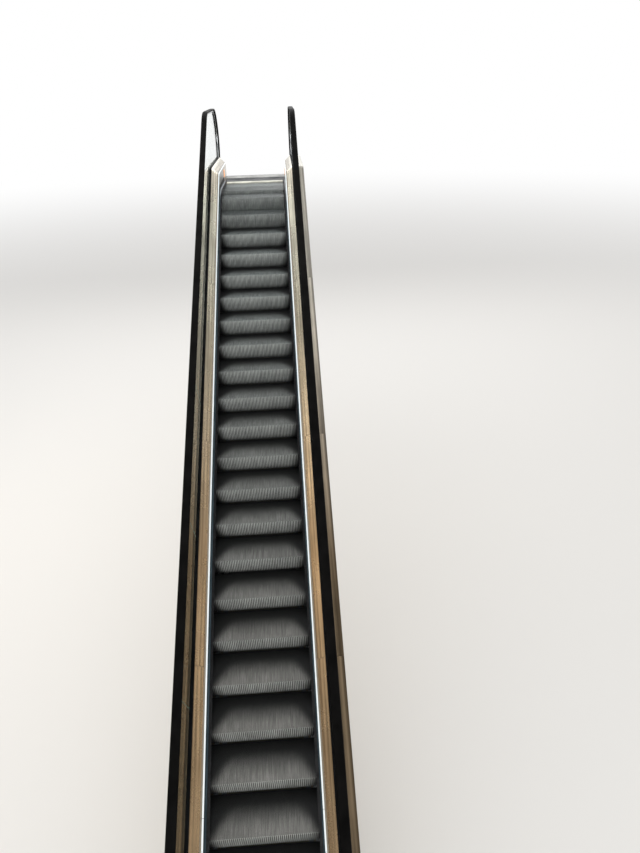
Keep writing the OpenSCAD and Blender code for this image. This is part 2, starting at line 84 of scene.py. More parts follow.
def row(x, y, z):
    """A point of the flight in the frame's own coordinates."""
    return Vector((x, y, z)) - SEAT


print("slope length", round(LENGTH, 3), "m")

# %% [markdown]
# The camera stands at the photograph's place. Its pose was solved from about sixty step edges, so a step of
# the model falls on the same step of the picture. The focal length follows from the picture's 853 pixel long
# side.

# %% Camera
FOCAL_PX, LONG_SIDE_PX, SENSOR_MM = 646.04, 853, 36
CAMERA_AT, CAMERA_SEES_TO = (0.40342, -12.39688, 1.62836), 300
pitch, yaw, roll = 0.492738, 0.048842, 0.028413
ahead = Vector((math.sin(yaw) * math.cos(pitch), math.cos(yaw) * math.cos(pitch), -math.sin(pitch)))
right = Vector((math.cos(yaw), -math.sin(yaw), 0))
down = ahead.cross(right)
cam_x = math.cos(roll) * right + math.sin(roll) * down
cam_y = math.sin(roll) * right - math.cos(roll) * down
camera = bpy.data.objects.new("camera", bpy.data.cameras.new("camera"))
bpy.context.scene.collection.objects.link(camera)
camera.matrix_world = Matrix.Translation(CAMERA_AT) @ Matrix((cam_x, cam_y, -ahead)).transposed().to_4x4()
camera.data.sensor_width = SENSOR_MM
camera.data.lens = FOCAL_PX / LONG_SIDE_PX * SENSOR_MM
camera.data.clip_end = CAMERA_SEES_TO
bpy.context.scene.camera = camera
bpy.context.scene.view_settings.view_transform = "Standard"
print("lens", round(camera.data.lens, 2), "mm")

# %% [markdown]
# Nodes are wired by small helpers, which shader trees and geometry trees share. The first sets an input that
# is given a value, and links one that is given a node or a socket. The others put in the few nodes that are
# needed again and again, and give back the socket that holds the result.

# %% Node helpers


def node(tree, kind, inputs=None, **settings):
    """Adds a node; inputs maps a socket's name or number to a value, a node or one of a node's outputs."""
    n = tree.nodes.new(kind)
    for key, value in settings.items():
        setattr(n, key, value)
    for key, value in (inputs or {}).items():
        if isinstance(value, bpy.types.Node):
            value = value.outputs[0]
        if isinstance(value, bpy.types.NodeSocket):
            tree.links.new(value, n.inputs[key])
        else:
            n.inputs[key].default_value = value
    return n


def calc(tree, operation, *values):
    """The result of a Math node."""
    return node(tree, "ShaderNodeMath", dict(enumerate(values)), operation=operation).outputs[0]


def span(tree, value, a, b, low=0.0, high=1.0, line="LINEAR"):
    """low at a, high at b, a line or curve between them, and level beyond both."""
    return node(tree, "ShaderNodeMapRange", {0: value, 1: a, 2: b, 3: low, 4: high},
                interpolation_type=line).outputs[0]


def band(tree, value, a, b, c, d):
    """1 between b and c, falling smoothly to 0 at a and d."""
    up = span(tree, value, a, b, line="SMOOTHSTEP")
    return calc(tree, "MULTIPLY", up, span(tree, value, c, d, 1.0, 0.0, line="SMOOTHSTEP"))


def mixed(tree, mask, first, second, kind="RGBA"):
    """first where the mask is 0 and second where it is 1; colours, or numbers if kind is FLOAT."""
    a, b, out = (6, 7, 2) if kind == "RGBA" else (2, 3, 0)
    return node(tree, "ShaderNodeMix", {0: mask, a: first, b: second}, data_type=kind).outputs[out]


def split(tree, vector):
    """X, Y and Z of a vector, each a socket."""
    return tuple(node(tree, "ShaderNodeSeparateXYZ", {0: vector}).outputs)


def together(tree, *values):
    """One vector from X, Y and, if it is given, Z."""
    return node(tree, "ShaderNodeCombineXYZ", dict(enumerate(values))).outputs[0]


def new_tree(name, kind, ins, outs=(("Geometry", "Geometry"),)):
    """A node group, and the sockets of both its ends by name; a number may carry its usual value."""
    tree = bpy.data.node_groups.new(name, kind)
    for label, socket, *usual in ins:
        s = tree.interface.new_socket(label, in_out="INPUT", socket_type="NodeSocket" + socket)
        if usual:
            s.default_value = usual[0]
    for label, socket in outs:
        tree.interface.new_socket(label, in_out="OUTPUT", socket_type="NodeSocket" + socket)
    return tree, tree.nodes.new("NodeGroupInput").outputs, tree.nodes.new("NodeGroupOutput").inputs


print("node helpers ready")

# %% [markdown]
# Several finishes share effects, so each effect is one node group. Hairline is the fine parallel grain of
# brushed steel: noise stretched many times longer along the grain than across it. It gives a grey value for
# colour and roughness, and a normal, because grain scatters light across its direction.

# %% Effect: hairline grain
BUMP_HEIGHT = 0.001
hairline, given, result = new_tree(
    "hairline", "ShaderNodeTree",
    [("Place", "Vector"), ("Along", "Float", 2.0), ("Across", "Float", 500.0), ("Depth", "Float", 0.1)],
    [("Grain", "Float"), ("Normal", "Vector")])
parts = split(hairline, given["Place"])
scaled = [calc(hairline, "MULTIPLY", part, given[way])
          for part, way in zip(parts, ("Along", "Across", "Across"))]
grain = node(hairline, "ShaderNodeTexNoise",
             {"Vector": together(hairline, *scaled), "Scale": 1.0, "Detail": 3.0})
bump = node(hairline, "ShaderNodeBump",
            {"Strength": given["Depth"], "Distance": BUMP_HEIGHT, "Height": grain})
hairline.links.new(grain.outputs[0], result["Grain"])
hairline.links.new(bump.outputs[0], result["Normal"])


def hairlines(tree, place, along, across, depth=0.0):
    """The hairline group, set in a material."""
    return node(tree, "ShaderNodeGroup", {"Place": place, "Along": along, "Across": across, "Depth": depth},
                node_tree=hairline).outputs


print("hairline group", len(hairline.nodes), "nodes")

# %% [markdown]
# Cloudy is what hands, shoes and cleaning cloths leave: soft patches, a hand's width or more across, that
# change gloss and tone, and a fine grit in the surface itself. Every finish uses it with its own sizes, so
# no surface is one flat colour.

# %% Effect: cloudy patches and grit
cloudy, given, result = new_tree(
    "cloudy", "ShaderNodeTree",
    [("Place", "Vector"), ("Patch", "Float", 4.0), ("Speck", "Float", 150.0), ("Depth", "Float", 0.05)],
    [("Patches", "Float"), ("Normal", "Vector")])
patch = node(cloudy, "ShaderNodeTexNoise", {"Vector": given["Place"], "Scale": given["Patch"], "Detail": 5.0,
                                            "Roughness": 0.6})
speck = node(cloudy, "ShaderNodeTexNoise", {"Vector": given["Place"], "Scale": given["Speck"], "Detail": 2.0})
bump = node(cloudy, "ShaderNodeBump", {"Strength": given["Depth"], "Distance": BUMP_HEIGHT, "Height": speck})
cloudy.links.new(span(cloudy, patch, 0.3, 0.7), result["Patches"])
cloudy.links.new(bump.outputs[0], result["Normal"])
print("cloudy group", len(cloudy.nodes), "nodes")

# %% [markdown]
# A finish is a Principled BSDF whose colour and roughness move between two values by a mask from those
# groups. The function below builds the common part; its place comes from Object coordinates, or from the UV
# map of a swept piece, where the first number is metres along the piece. Numbers that stay the same all over
# are set on the shader itself.

# %% Common finish
FINISH, GRAIN_SHARE, ACROSS_X = {}, 0.8, math.pi / 2


def finish(key, name, dark, light, rough, metallic=0.0, grain=None, patch=4.0, speck=150.0, depth=0.05,
           uv=False, turn=0.0, **constant):
    """A procedural finish, kept under its key; grain=(along, across, depth) adds hairlines."""
    FINISH[key] = mat = bpy.data.materials.new(name)
    mat.use_nodes = True
    t = mat.node_tree
    t.nodes.clear()
    coords = node(t, "ShaderNodeTexCoord").outputs["Object"]
    place = node(t, "ShaderNodeUVMap", uv_map=UV).outputs[0] if uv else coords
    if turn:
        place = node(t, "ShaderNodeMapping", {"Vector": place, "Rotation": (0, 0, turn)}).outputs[0]
    clouds = node(t, "ShaderNodeGroup", {"Place": coords, "Patch": patch, "Speck": speck, "Depth": depth},
                  node_tree=cloudy).outputs
    mask, normal = clouds["Patches"], clouds["Normal"]
    if grain:
        lines = hairlines(t, place, *grain)
        mask, normal = mixed(t, GRAIN_SHARE, lines["Grain"], mask, "FLOAT"), lines["Normal"]
    tone = node(t, "ShaderNodeMix", {0: mask, 6: (*dark, 1), 7: (*light, 1)}, data_type="RGBA")
    shine = node(t, "ShaderNodeMapRange", {0: mask, 3: rough[0], 4: rough[1]})
    constant = {label.replace("_", " "): value for label, value in constant.items()}
    bsdf = node(t, "ShaderNodeBsdfPrincipled", {"Base Color": tone.outputs[2], "Roughness": shine,
                                                "Normal": normal, "Metallic": metallic, **constant})
    node(t, "ShaderNodeOutputMaterial", {0: bsdf})
    return SimpleNamespace(tree=t, bsdf=bsdf, coords=coords, place=place, mask=mask, tone=tone, shine=shine)


print("finish helper ready")


# %% [markdown]
# The steps are cast aluminium. The front of each tread and the head of the riser are paler, partly from feet
# that polish them and partly as a painted highlight, and the riser's teeth below are mixed towards
# near-white, a painted highlight of the light from the front. The rear of each tread, the foot of the riser
# and both ends beside the skirts are darker, partly dirt and partly painted shade of the riser above and of
# the brushes, and the plate between the cleats is kept darker. So the tone follows three numbers: the
# distance from the nosing, stored as the second UV number, the first UV number, which is 1 on cleats and 0 on
# the plate, and simply X. On the level stretches, where the treads are one flat band and no riser shades
# them, the tone is even, with one painted highlight before the upper comb. The pale tone goes from warm on
# the lower steps to cooler on the upper ones, a painted tint of the light there.

# %% Finish: step castings
POLISH_AND_LIGHT, OFF_MIDDLE = (-0.24, -0.13, 0.03, 0.32), (-1.1, -1.0, 0.37, 0.5)
NARROWS_BEHIND, NARROWS_BELOW = 0.5, -0.25
UPPER_LEVEL, LOWER_LEVEL = (-0.3, -0.19), (-4.6, -4.69)
COMB_HIGHLIGHT_AT, COMB_HIGHLIGHT_GAIN, LEVEL_WEAR = (-1.42, -1.33, -1.16, -1.09), 0.42, 0.65
STREAK_ALONG, STREAK_ACROSS = 5.0, 90.0
LAMP_TINT_HEIGHTS, RISER_HIGHLIGHT = (-3.2, -0.6), (0.004, -0.012, 0.0, 0.9)
p = finish("step", "step_casting", (0.011, 0.0115, 0.012), (0.56, 0.585, 0.565), (0.55, 0.38), metallic=0.3,
           patch=4.0, speck=320.0, depth=0.1)
t = p.tree
raised, from_nosing, _ = split(t, node(t, "ShaderNodeUVMap", uv_map=UV))
across, along, height = split(t, p.coords)
copy_no = node(t, "ShaderNodeAttribute", attribute_name="Copy").outputs["Fac"]
streaks = hairlines(t, together(t, from_nosing, across, copy_no), STREAK_ALONG, STREAK_ACROSS)
# Painted shade: the pale zone narrows towards the skirts, faster behind the nosing than down the riser.
away = calc(t, "MAXIMUM", calc(t, "MULTIPLY", from_nosing, NARROWS_BEHIND),
            calc(t, "MULTIPLY", from_nosing, NARROWS_BELOW))
off_middle = calc(t, "ADD", away, calc(t, "ABSOLUTE", across))
# Partly wear and partly painted highlight at the front; the fall-off behind it is partly painted shade of the
# riser above.
polish_and_light = calc(t, "MULTIPLY", band(t, from_nosing, *POLISH_AND_LIGHT), band(t, off_middle, *OFF_MIDDLE))
level = calc(t, "MAXIMUM", span(t, height, *UPPER_LEVEL), span(t, height, *LOWER_LEVEL))
# Painted highlight: one paler band on the level treads just before the upper comb, over an even level tone.
level_wear_and_highlight = calc(t, "MULTIPLY_ADD", band(t, along, *COMB_HIGHLIGHT_AT), COMB_HIGHLIGHT_GAIN, LEVEL_WEAR)
wear_and_painted_light = mixed(t, level, polish_and_light, level_wear_and_highlight, "FLOAT")
# The plate between the cleats keeps only a small share of the paler tone.
for value, a, b, low in ((p.mask, 0.0, 1.0, 0.72), (streaks["Grain"], 0.3, 0.7, 0.5),
                         (raised, 0.0, 1.0, 0.08)):
    wear_and_painted_light = calc(t, "MULTIPLY", wear_and_painted_light, span(t, value, a, b, low))
t.links.new(wear_and_painted_light, p.tone.inputs[0])
t.links.new(wear_and_painted_light, p.shine.inputs[0])
# Painted tint of the light: the pale tone is warm on the lower steps and cooler on the upper ones.
lamp_tinted_tone = mixed(t, span(t, height, *LAMP_TINT_HEIGHTS), (0.57, 0.56, 0.52, 1), (0.55, 0.61, 0.6, 1))
t.links.new(lamp_tinted_tone, p.tone.inputs[7])
# Painted highlight: the riser's teeth below the nosing are mixed towards a near-white tone.
riser_highlight = calc(t, "MULTIPLY", span(t, from_nosing, *RISER_HIGHLIGHT), wear_and_painted_light)
t.links.new(mixed(t, riser_highlight, p.tone.outputs[2], (0.9, 0.93, 0.89, 1)), p.bsdf.inputs["Base Color"])
print("step finish", len(t.nodes), "nodes")

# %% [markdown]
# The decks are stainless steel with a grain along their length. Their warm tone is mostly a painted
# reflection of warm light, and their long soft bands are partly wiping marks and partly painted reflection. A
# painted highlight runs down the middle of each face, so they are darker towards both edges, and the outer
# deck has painted light at the foot of the glass. Towards the upper landing they turn paler and less warm, a
# painted reflection of the brighter light there, and the level end is palest, a painted highlight. The outer
# deck is a darker copy of the same steel, painted shade of the handrail above it.

# %% Finish: decks
STEEL_GRAIN = (1.5, 700.0, 0.012)
BANDS_ALONG, BANDS_ACROSS, BANDS_GREY, BANDS_SHARE = 0.45, 22.0, (0.32, 0.68), 0.8
EDGE_TO_MIDDLE, AT_FOOT = (0.45, 1.05), 0.95
UPPER_HEIGHTS, LEVEL_HEIGHTS = (-2.6, -0.5), (0.46, 0.495)


def deck_finish(key, name, dark, light, rough, top_face, upper_dark, upper_light, level_end, foot=None):
    """A deck's steel; top_face and foot are places round the section, as the second UV number has them."""
    p = finish(key, name, dark, light, rough, metallic=1.0, grain=STEEL_GRAIN, patch=2.2, uv=True)
    t = p.tree
    round_section = split(t, p.place)[1]
    # Partly wiping marks and partly painted reflection: long soft bands along the deck.
    wipes_and_reflection = span(t, hairlines(t, p.place, BANDS_ALONG, BANDS_ACROSS)["Grain"], *BANDS_GREY)
    # Painted highlight down the middle of each face, darker towards both edges.
    wipes_and_highlight = calc(t, "MULTIPLY", mixed(t, BANDS_SHARE, p.mask, wipes_and_reflection, "FLOAT"),
                 span(t, band(t, round_section, *top_face), 0.0, 1.0, *EDGE_TO_MIDDLE))
    # Painted light on the outer deck at the foot of the glass, where the glass holds back the lamps' light.
    if foot:
        wipes_and_highlight = calc(t, "MAXIMUM", wipes_and_highlight, span(t, round_section, *foot, AT_FOOT, 0.0))
    t.links.new(wipes_and_highlight, p.tone.inputs[0])
    height = split(t, p.coords)[2]
    # Painted reflection: towards the upper landing the decks turn paler and less warm.
    pale = mixed(t, wipes_and_highlight, (*upper_dark, 1), (*upper_light, 1))
    slope = mixed(t, span(t, height, *UPPER_HEIGHTS), p.tone.outputs[2], pale)
    # Painted highlight: the level end is palest.
    whole = mixed(t, span(t, height, *LEVEL_HEIGHTS), slope, (*level_end, 1))
    t.links.new(whole, p.bsdf.inputs["Base Color"])
    print(name, len(t.nodes), "nodes")


# The warm tone of the decks is mostly a painted reflection of warm light.
deck_finish("deck", "deck_steel", (0.14, 0.091, 0.05), (0.57, 0.376, 0.22), (0.34, 0.2),
            (0.136, 0.152, 0.234, 0.246), (0.19, 0.172, 0.138), (0.68, 0.61, 0.49), (0.78, 0.745, 0.655))
# Painted shade: the outer deck is a darker copy of the same steel, for the handrail above it.
deck_finish("outer", "outer_deck_steel", (0.03, 0.022, 0.014), (0.24, 0.178, 0.112), (0.42, 0.26),
            (0.15, 0.16, 0.245, 0.278), (0.12, 0.113, 0.1), (0.48, 0.45, 0.385), (0.48, 0.46, 0.41),
            foot=(0.162, 0.19))

# %% [markdown]
# The other metals, paints and enamels differ only in their values. The skirt is black enamel, the brush rail
# anodised blue-grey, the cladding beige enamel with a little orange peel. Hairlines run along X unless they
# are turned; those of sheets brushed lengthways are turned to run along Y.

# %% Finishes of metal and enamel
PLATE_GRAIN = (8.0, 600.0, 0.12)
finish("end_face", "deck_end_steel", (0.2, 0.195, 0.185), (0.46, 0.45, 0.43), (0.38, 0.24), metallic=1.0,
       grain=(2.0, 600.0, 0.08), patch=4.0, turn=ACROSS_X)
finish("newel", "newel_steel", (0.42, 0.37, 0.31), (0.64, 0.58, 0.5), (0.36, 0.24), metallic=1.0,
       grain=STEEL_GRAIN, patch=3.0, turn=ACROSS_X)
finish("guide", "guide_steel", (0.4, 0.41, 0.42), (0.62, 0.63, 0.64), (0.38, 0.25), metallic=1.0,
       grain=STEEL_GRAIN, patch=3.0, uv=True)
finish("plate", "comb_plate", (0.03, 0.034, 0.037), (0.1, 0.106, 0.112), (0.6, 0.45), grain=PLATE_GRAIN,
       patch=5.0, turn=ACROSS_X, Specular_IOR_Level=0.2)
finish("cover", "landing_cover", (0.2, 0.2, 0.195), (0.4, 0.4, 0.385), (0.5, 0.33), metallic=1.0,
       grain=PLATE_GRAIN, patch=5.0)
finish("comb", "comb_casting", (0.34, 0.335, 0.28), (0.6, 0.595, 0.5), (0.45, 0.3), metallic=1.0, patch=9.0,
       speck=260.0, depth=0.12)
finish("screw", "screw_steel", (0.3, 0.3, 0.3), (0.6, 0.6, 0.6), (0.4, 0.25), metallic=1.0, patch=30.0)
finish("skirt", "skirt_enamel", (0.006, 0.0065, 0.008), (0.022, 0.023, 0.026), (0.5, 0.36), patch=3.0,
       speck=90.0, Specular_IOR_Level=0.22)
finish("holder", "brush_rail", (0.02, 0.034, 0.042), (0.06, 0.085, 0.1), (0.45, 0.32), metallic=0.85,
       grain=(3.0, 700.0, 0.1), patch=4.0, uv=True)
finish("galvanised", "galvanised_steel", (0.3, 0.31, 0.32), (0.5, 0.51, 0.52), (0.55, 0.38), metallic=1.0,
       patch=35.0, speck=60.0)
finish("truss", "truss_paint", (0.06, 0.065, 0.07), (0.13, 0.135, 0.14), (0.6, 0.45), patch=2.5, speck=220.0,
       depth=0.15)
finish("cladding", "cladding_enamel", (0.4, 0.345, 0.245), (0.47, 0.41, 0.3), (0.4, 0.28), patch=1.2,
       speck=420.0, depth=0.06, Coat_Weight=0.15)
finish("end", "end_plate_paint", (0.2, 0.2, 0.2), (0.3, 0.3, 0.295), (0.62, 0.45), patch=3.0, speck=200.0,
       depth=0.12)
print(len(FINISH), "finishes")

# %% [markdown]
# Rubber, nylon, plastic and glass come next. Handrail rubber shows a faint sheen where hands rub it. Glass
# needs the opposite of pattern: a clear body, with only its polished rim greener, because light travels a
# long way inside it there. The edge strip glows only along the lens in its top; LENS says where that lies
# round the section.

# %% Finishes of rubber, plastic and glass
LENS = (0.0275, 0.029, 0.0485, 0.0495)
finish("rubber", "handrail_rubber", (0.0014, 0.0013, 0.0012), (0.005, 0.0047, 0.0044), (0.62, 0.45),
       patch=6.0, speck=500.0, depth=0.05, Specular_IOR_Level=0.03)
finish("channel", "channel_gasket", (0.002, 0.002, 0.002), (0.006, 0.006, 0.0065), (0.7, 0.5), patch=5.0,
       speck=300.0, depth=0.15, Specular_IOR_Level=0.06)
finish("bristle", "bristle_nylon", (0.004, 0.004, 0.005), (0.02, 0.02, 0.022), (0.5, 0.36), patch=12.0,
       speck=700.0)
finish("wheel", "wheel_tyre", (0.02, 0.02, 0.02), (0.05, 0.05, 0.05), (0.6, 0.4), patch=20.0)
finish("amber", "amber_lens", (0.75, 0.26, 0.03), (0.95, 0.4, 0.06), (0.25, 0.14), patch=25.0,
       Emission_Color=(1.0, 0.36, 0.04, 1), Emission_Strength=0.5, Coat_Weight=0.5)
finish("glass", "clear_glass", (0.9, 0.965, 0.945), (0.94, 0.985, 0.97), (0.035, 0.015), patch=2.0,
       speck=40.0, depth=0.0, Transmission_Weight=1.0, IOR=1.5)
finish("glass_rim", "glass_rim", (0.25, 0.5, 0.43), (0.4, 0.66, 0.58), (0.12, 0.05), patch=8.0,
       Transmission_Weight=0.6, IOR=1.5)
p = finish("strip", "lit_edge_strip", (0.82, 0.86, 0.86), (0.93, 0.96, 0.96), (0.32, 0.22), patch=3.0,
           uv=True, Emission_Strength=0.3)
lens = band(p.tree, split(p.tree, p.place)[1], *LENS)
for dark, light, socket in (((0.28, 0.235, 0.175, 1), p.tone.outputs[2], "Base Color"),
                            ((0, 0, 0, 1), (0.86, 0.97, 1.0, 1), "Emission Color")):
    p.tree.links.new(mixed(p.tree, lens, dark, light), p.bsdf.inputs[socket])
print(len(FINISH), "finishes in all")

# %% [markdown]
# Every CAD node gets a finish, also those that stay as they are. A CAD node's material slots are filled with
# the finish; nothing of its shape is touched.

# %% Finishes on the CAD nodes
LOOKS = {"steps": "step", "step_wheels": "wheel", "step_tracks": "galvanised", "comb_plates": "plate",
         "comb": "comb", "floor_plates": "cover", "landing_frames": "galvanised", "skirt": "skirt",
         "brush_holder": "holder", "bristles": "bristle", "edge_strip": "strip", "inner_deck": "deck",
         "outer_deck": "outer", "glass_channels": "channel", "glass": "glass", "handrail_guide": "guide",
         "handrail_inlets": "channel", "handrail": "rubber", "newel_bases": "newel",
         "signal_lenses": "amber", "balustrade_brackets": "galvanised", "truss": "truss",
         "cross_beams": "truss", "side_panels": "cladding", "soffit_panels": "cladding",
         "end_plates": "end", "upper_bearing": "truss", "lower_bearing": "truss"}


def look_of(name):
    """The finish whose label is the longest start of the node's name."""
    return FINISH[LOOKS[max((label for label in LOOKS if name.startswith(label)), key=len)]]


for name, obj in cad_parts.items():
    for slot in obj.material_slots:
        slot.material = look_of(name)
print("finished", len(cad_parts), "nodes")

# %% [markdown]
# Paths come from the same rules as the real machine: level, bend, slope, bend, level. Steps, brushes, decks
# and handrails all run parallel to such a path, so one function draws them all.

# %% Paths along the flight


def arc(cy, cz, r, w0, w1, n):
    """Points of an arc in Y and Z, angles in degrees."""
    return [(cy + r * math.cos(math.radians(w0 + (w1 - w0) * i / n)),
             cz + r * math.sin(math.radians(w0 + (w1 - w0) * i / n))) for i in range(n + 1)]


def bent(h, za, zb, r1, r2, ya, yb, n=20):
    """Level at za, slope h above the nosing line, level at RISE + zb."""
    y1, y2 = (za - h) / math.tan(SLOPE), (RISE + zb - h) / math.tan(SLOPE)
    u1, u2 = r1 * math.tan(SLOPE / 2), r2 * math.tan(SLOPE / 2)
    return [(ya, za)] + arc(y1 - u1, za + r1, r1, -90, -60, n) + \
        arc(y2 + u2, RISE + zb - r2, r2, 120, 90, n) + [(yb, RISE + zb)]


def between(p, q, k):
    """The point at share k of the way from p to q."""
    return p[0] + (q[0] - p[0]) * k, p[1] + (q[1] - p[1]) * k


def lengths(points, cuts, gap):
    """Cuts a path at distances along it, and leaves a gap at each cut."""
    runs, run, at, cuts = [], [points[0]], 0.0, list(cuts)
    for p, q in zip(points, points[1:]):
        size = math.dist(p, q)
        while cuts and at + size > cuts[0] + gap:
            cut = cuts.pop(0)
            runs.append(run + [between(p, q, (cut - gap / 2 - at) / size)])
            run = [between(p, q, (cut + gap / 2 - at) / size)]
        run.append(q)
        at += size
    return runs + [run]


def path_length(points):
    return sum(math.dist(p, q) for p, q in zip(points, points[1:]))


STEP_PATH = bent(-TREAD_DROP, -TREAD_DROP, -TREAD_DROP, BEND_LOW, BEND_UP, -COMB_RUN, RUN + COMB_RUN)
DECK_PATH = bent(DECK_H, DECK_END, DECK_END, DECK_BEND, DECK_BEND, -DECK_RUN, RUN + DECK_RUN)
print("step path", round(path_length(STEP_PATH), 2), "m, deck path", round(path_length(DECK_PATH), 2), "m")


# %% [markdown]
# Small builders make the meshes that the geometry trees repeat. A prism is an outline drawn in Y and Z and
# pushed along X. A strip prism joins an outer and an inner line, so its long bent sides stay clean
# four-sided faces. Both write a UV map: X first, and second a number for each point of the outline, such as
# its distance from the nosing. Loose points and lines are only places and paths, which the trees turn into
# copies and sweeps.

# %% Mesh builders


def face_outward(me):
    """Turns the faces of closed shells to point outwards."""
    bm = bmesh.new()
    bm.from_mesh(me)
    bmesh.ops.recalc_face_normals(bm, faces=bm.faces)
    bm.to_mesh(me)
    bm.free()


def mesh_of(name, verts, faces, uvs=None):
    me = bpy.data.meshes.new(name)
    me.from_pydata(verts, [], faces)
    face_outward(me)
    layer = me.uv_layers.new(name=UV)
    for loop in me.loops:
        v = me.vertices[loop.vertex_index].co
        layer.data[loop.index].uv = uvs[loop.vertex_index] if uvs else (v.x, v.y)
    return me


def add(name, me):
    obj = bpy.data.objects.new(name, me)
    bpy.context.scene.collection.objects.link(obj)
    return obj


def prism(name, outline, x0, x1, v=None):
    """Outline [(y, z), ...] pushed from x0 to x1; v gives each outline point's second UV number."""
    n = len(outline)
    verts = [(x, y, z) for x in (x0, x1) for y, z in outline]
    faces = [tuple(range(n)), tuple(range(2 * n - 1, n - 1, -1))]
    faces += [(i, (i + 1) % n, n + (i + 1) % n, n + i) for i in range(n)]
    v = v or [p[0] for p in outline]
    return mesh_of(name, verts, faces, [(w[0], v[i % n]) for i, w in enumerate(verts)])


def strip_prism(name, outer, inner, x0, x1, v):
    """A bent strip between two lines of equal length, pushed from x0 to x1."""
    n = len(outer)
    verts = [(x, y, z) for x in (x0, x1) for line in (outer, inner) for y, z in line]
    faces = [(0, n, 3 * n, 2 * n), (n - 1, 3 * n - 1, 4 * n - 1, 2 * n - 1)]
    for i in range(n - 1):
        faces += [(i, i + 1, n + i + 1, n + i), (2 * n + i, 3 * n + i, 3 * n + i + 1, 2 * n + i + 1),
                  (i, 2 * n + i, 2 * n + i + 1, i + 1), (n + i, n + i + 1, 3 * n + i + 1, 3 * n + i)]
    return mesh_of(name, verts, faces, [(w[0], v[i % n]) for i, w in enumerate(verts)])


def joined(name, meshes):
    """One mesh from several, each with its UV map."""
    bm = bmesh.new()
    for me in meshes:
        bm.from_mesh(me)
    out = bpy.data.meshes.new(name)
    bm.to_mesh(out)
    bm.free()
    return out


def joined_pieces(name, pieces):
    """One new object from several, which are taken away."""
    whole = add(name, joined(name, [piece.data for piece in pieces]))
    for piece in pieces:
        bpy.data.objects.remove(piece)
    return whole


def marked(me, u):
    """Gives a whole mesh one first UV number."""
    for loop in me.uv_layers[0].data:
        loop.uv.x = u
    return me


def points_mesh(name, points):
    me = bpy.data.meshes.new(name)
    me.from_pydata(points, [], [])
    return me


def lines_mesh(name, lines, closed=False):
    """Poly-lines of 3-D points as loose edges."""
    verts, edges = [], []
    for line in lines:
        base = len(verts)
        verts += line
        edges += [(base + i, base + i + 1) for i in range(len(line) - 1)]
        if closed:
            edges.append((base + len(line) - 1, base))
    me = bpy.data.meshes.new(name)
    me.from_pydata(verts, edges, [])
    return me


print("mesh builders ready")

# %% [markdown]
# A geometry tree is used through a modifier. The helpers below close a tree, set the modifier's inputs by
# each socket's identifier, turn the result into a plain mesh, take the modifier off again and let the piece
# ride on the frame's one body. Its closed shells get their outward normals checked on the way.

# %% Run a geometry tree and keep its mesh


def end_tree(tree, geometry, given, result):
    """The export drops instances, so they are made real before the finish is set."""
    real = node(tree, "GeometryNodeRealizeInstances", {0: geometry})
    dressed = node(tree, "GeometryNodeSetMaterial", {0: real, "Material": given["Finish"]})
    tree.links.new(dressed.outputs[0], result[0])
    print(tree.name, "tree", len(tree.nodes), "nodes")


def evaluated(obj):
    """Puts the result of an object's modifiers in its own mesh, and clears them."""
    view = bpy.context.evaluated_depsgraph_get()
    me = bpy.data.meshes.new_from_object(obj.evaluated_get(view), depsgraph=view)
    obj.modifiers.clear()
    obj.data = me


def run_tree(host, tree, **values):
    """Runs a tree on host; objects that it takes are tools, and go once it has run."""
    mod = host.modifiers.new("tree", "NODES")
    mod.node_group = tree
    for item in tree.interface.items_tree:
        if item.item_type == "SOCKET" and item.in_out == "INPUT" and item.name in values:
            mod[item.identifier] = values[item.name]
    bpy.context.view_layer.update()
    evaluated(host)
    for tool in values.values():
        if isinstance(tool, bpy.types.Object):
            bpy.data.objects.remove(tool)
    return host


def keep(obj, replaces=(), sharp=None, outward=True):
    """Turns the faces outward, smooths the shading if sharp is given, lets the piece ride on the body and
    hides the CAD nodes it stands for.
    """
    if outward:
        face_outward(obj.data)
    if sharp:
        obj.data.shade_smooth()
        obj.data.set_sharp_from_angle(angle=math.radians(sharp))
    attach(obj, "root")
    if replaces:
        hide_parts(*replaces)
    print(obj.name, "triangles", sum(len(f.vertices) - 2 for f in obj.data.polygons))


print("tree runner ready")

# %% [markdown]
# Rows are everywhere on an escalator: cleats on a step, teeth on a comb, ribs on a cover. One tree serves
# them all. It sets an item along a row, adds the body that carries it, and repeats the whole at each given
# point. Each copy keeps its number, so a finish can vary from step to step.

# %% Geometry tree: rows of items
rows, given, result = new_tree(
    "rows", "GeometryNodeTree",
    [("Geometry", "Geometry"), ("Item", "Object"), ("Body", "Object"), ("Count", "Int", 10),
     ("First", "Vector"), ("Step", "Vector"), ("Finish", "Material")])
line = node(rows, "GeometryNodeMeshLine", {"Count": given["Count"], "Start Location": given["First"],
                                           "Offset": given["Step"]}, mode="OFFSET")
item, body = (node(rows, "GeometryNodeObjectInfo", {"Object": given[tool]}).outputs["Geometry"]
              for tool in ("Item", "Body"))
in_row = node(rows, "GeometryNodeInstanceOnPoints", {"Points": line, "Instance": item})
both = node(rows, "GeometryNodeJoinGeometry", {0: in_row})
rows.links.new(body, both.inputs[0])
one = node(rows, "GeometryNodeRealizeInstances", {0: both})
placed = node(rows, "GeometryNodeInstanceOnPoints", {"Points": given["Geometry"], "Instance": one})
numbered = node(rows, "GeometryNodeStoreNamedAttribute",
                {0: placed, "Name": "Copy", "Value": node(rows, "GeometryNodeInputIndex")},
                data_type="FLOAT", domain="INSTANCE")
end_tree(rows, numbered, given, result)


def row_piece(name, points, item, body, count, first, step, look):
    """A body with count items on it, at each point."""
    return run_tree(add(name, points_mesh(name, points)), rows, Item=add("item", item),
                    Body=add("body", body), Count=count, First=first, Step=step, Finish=FINISH[look])


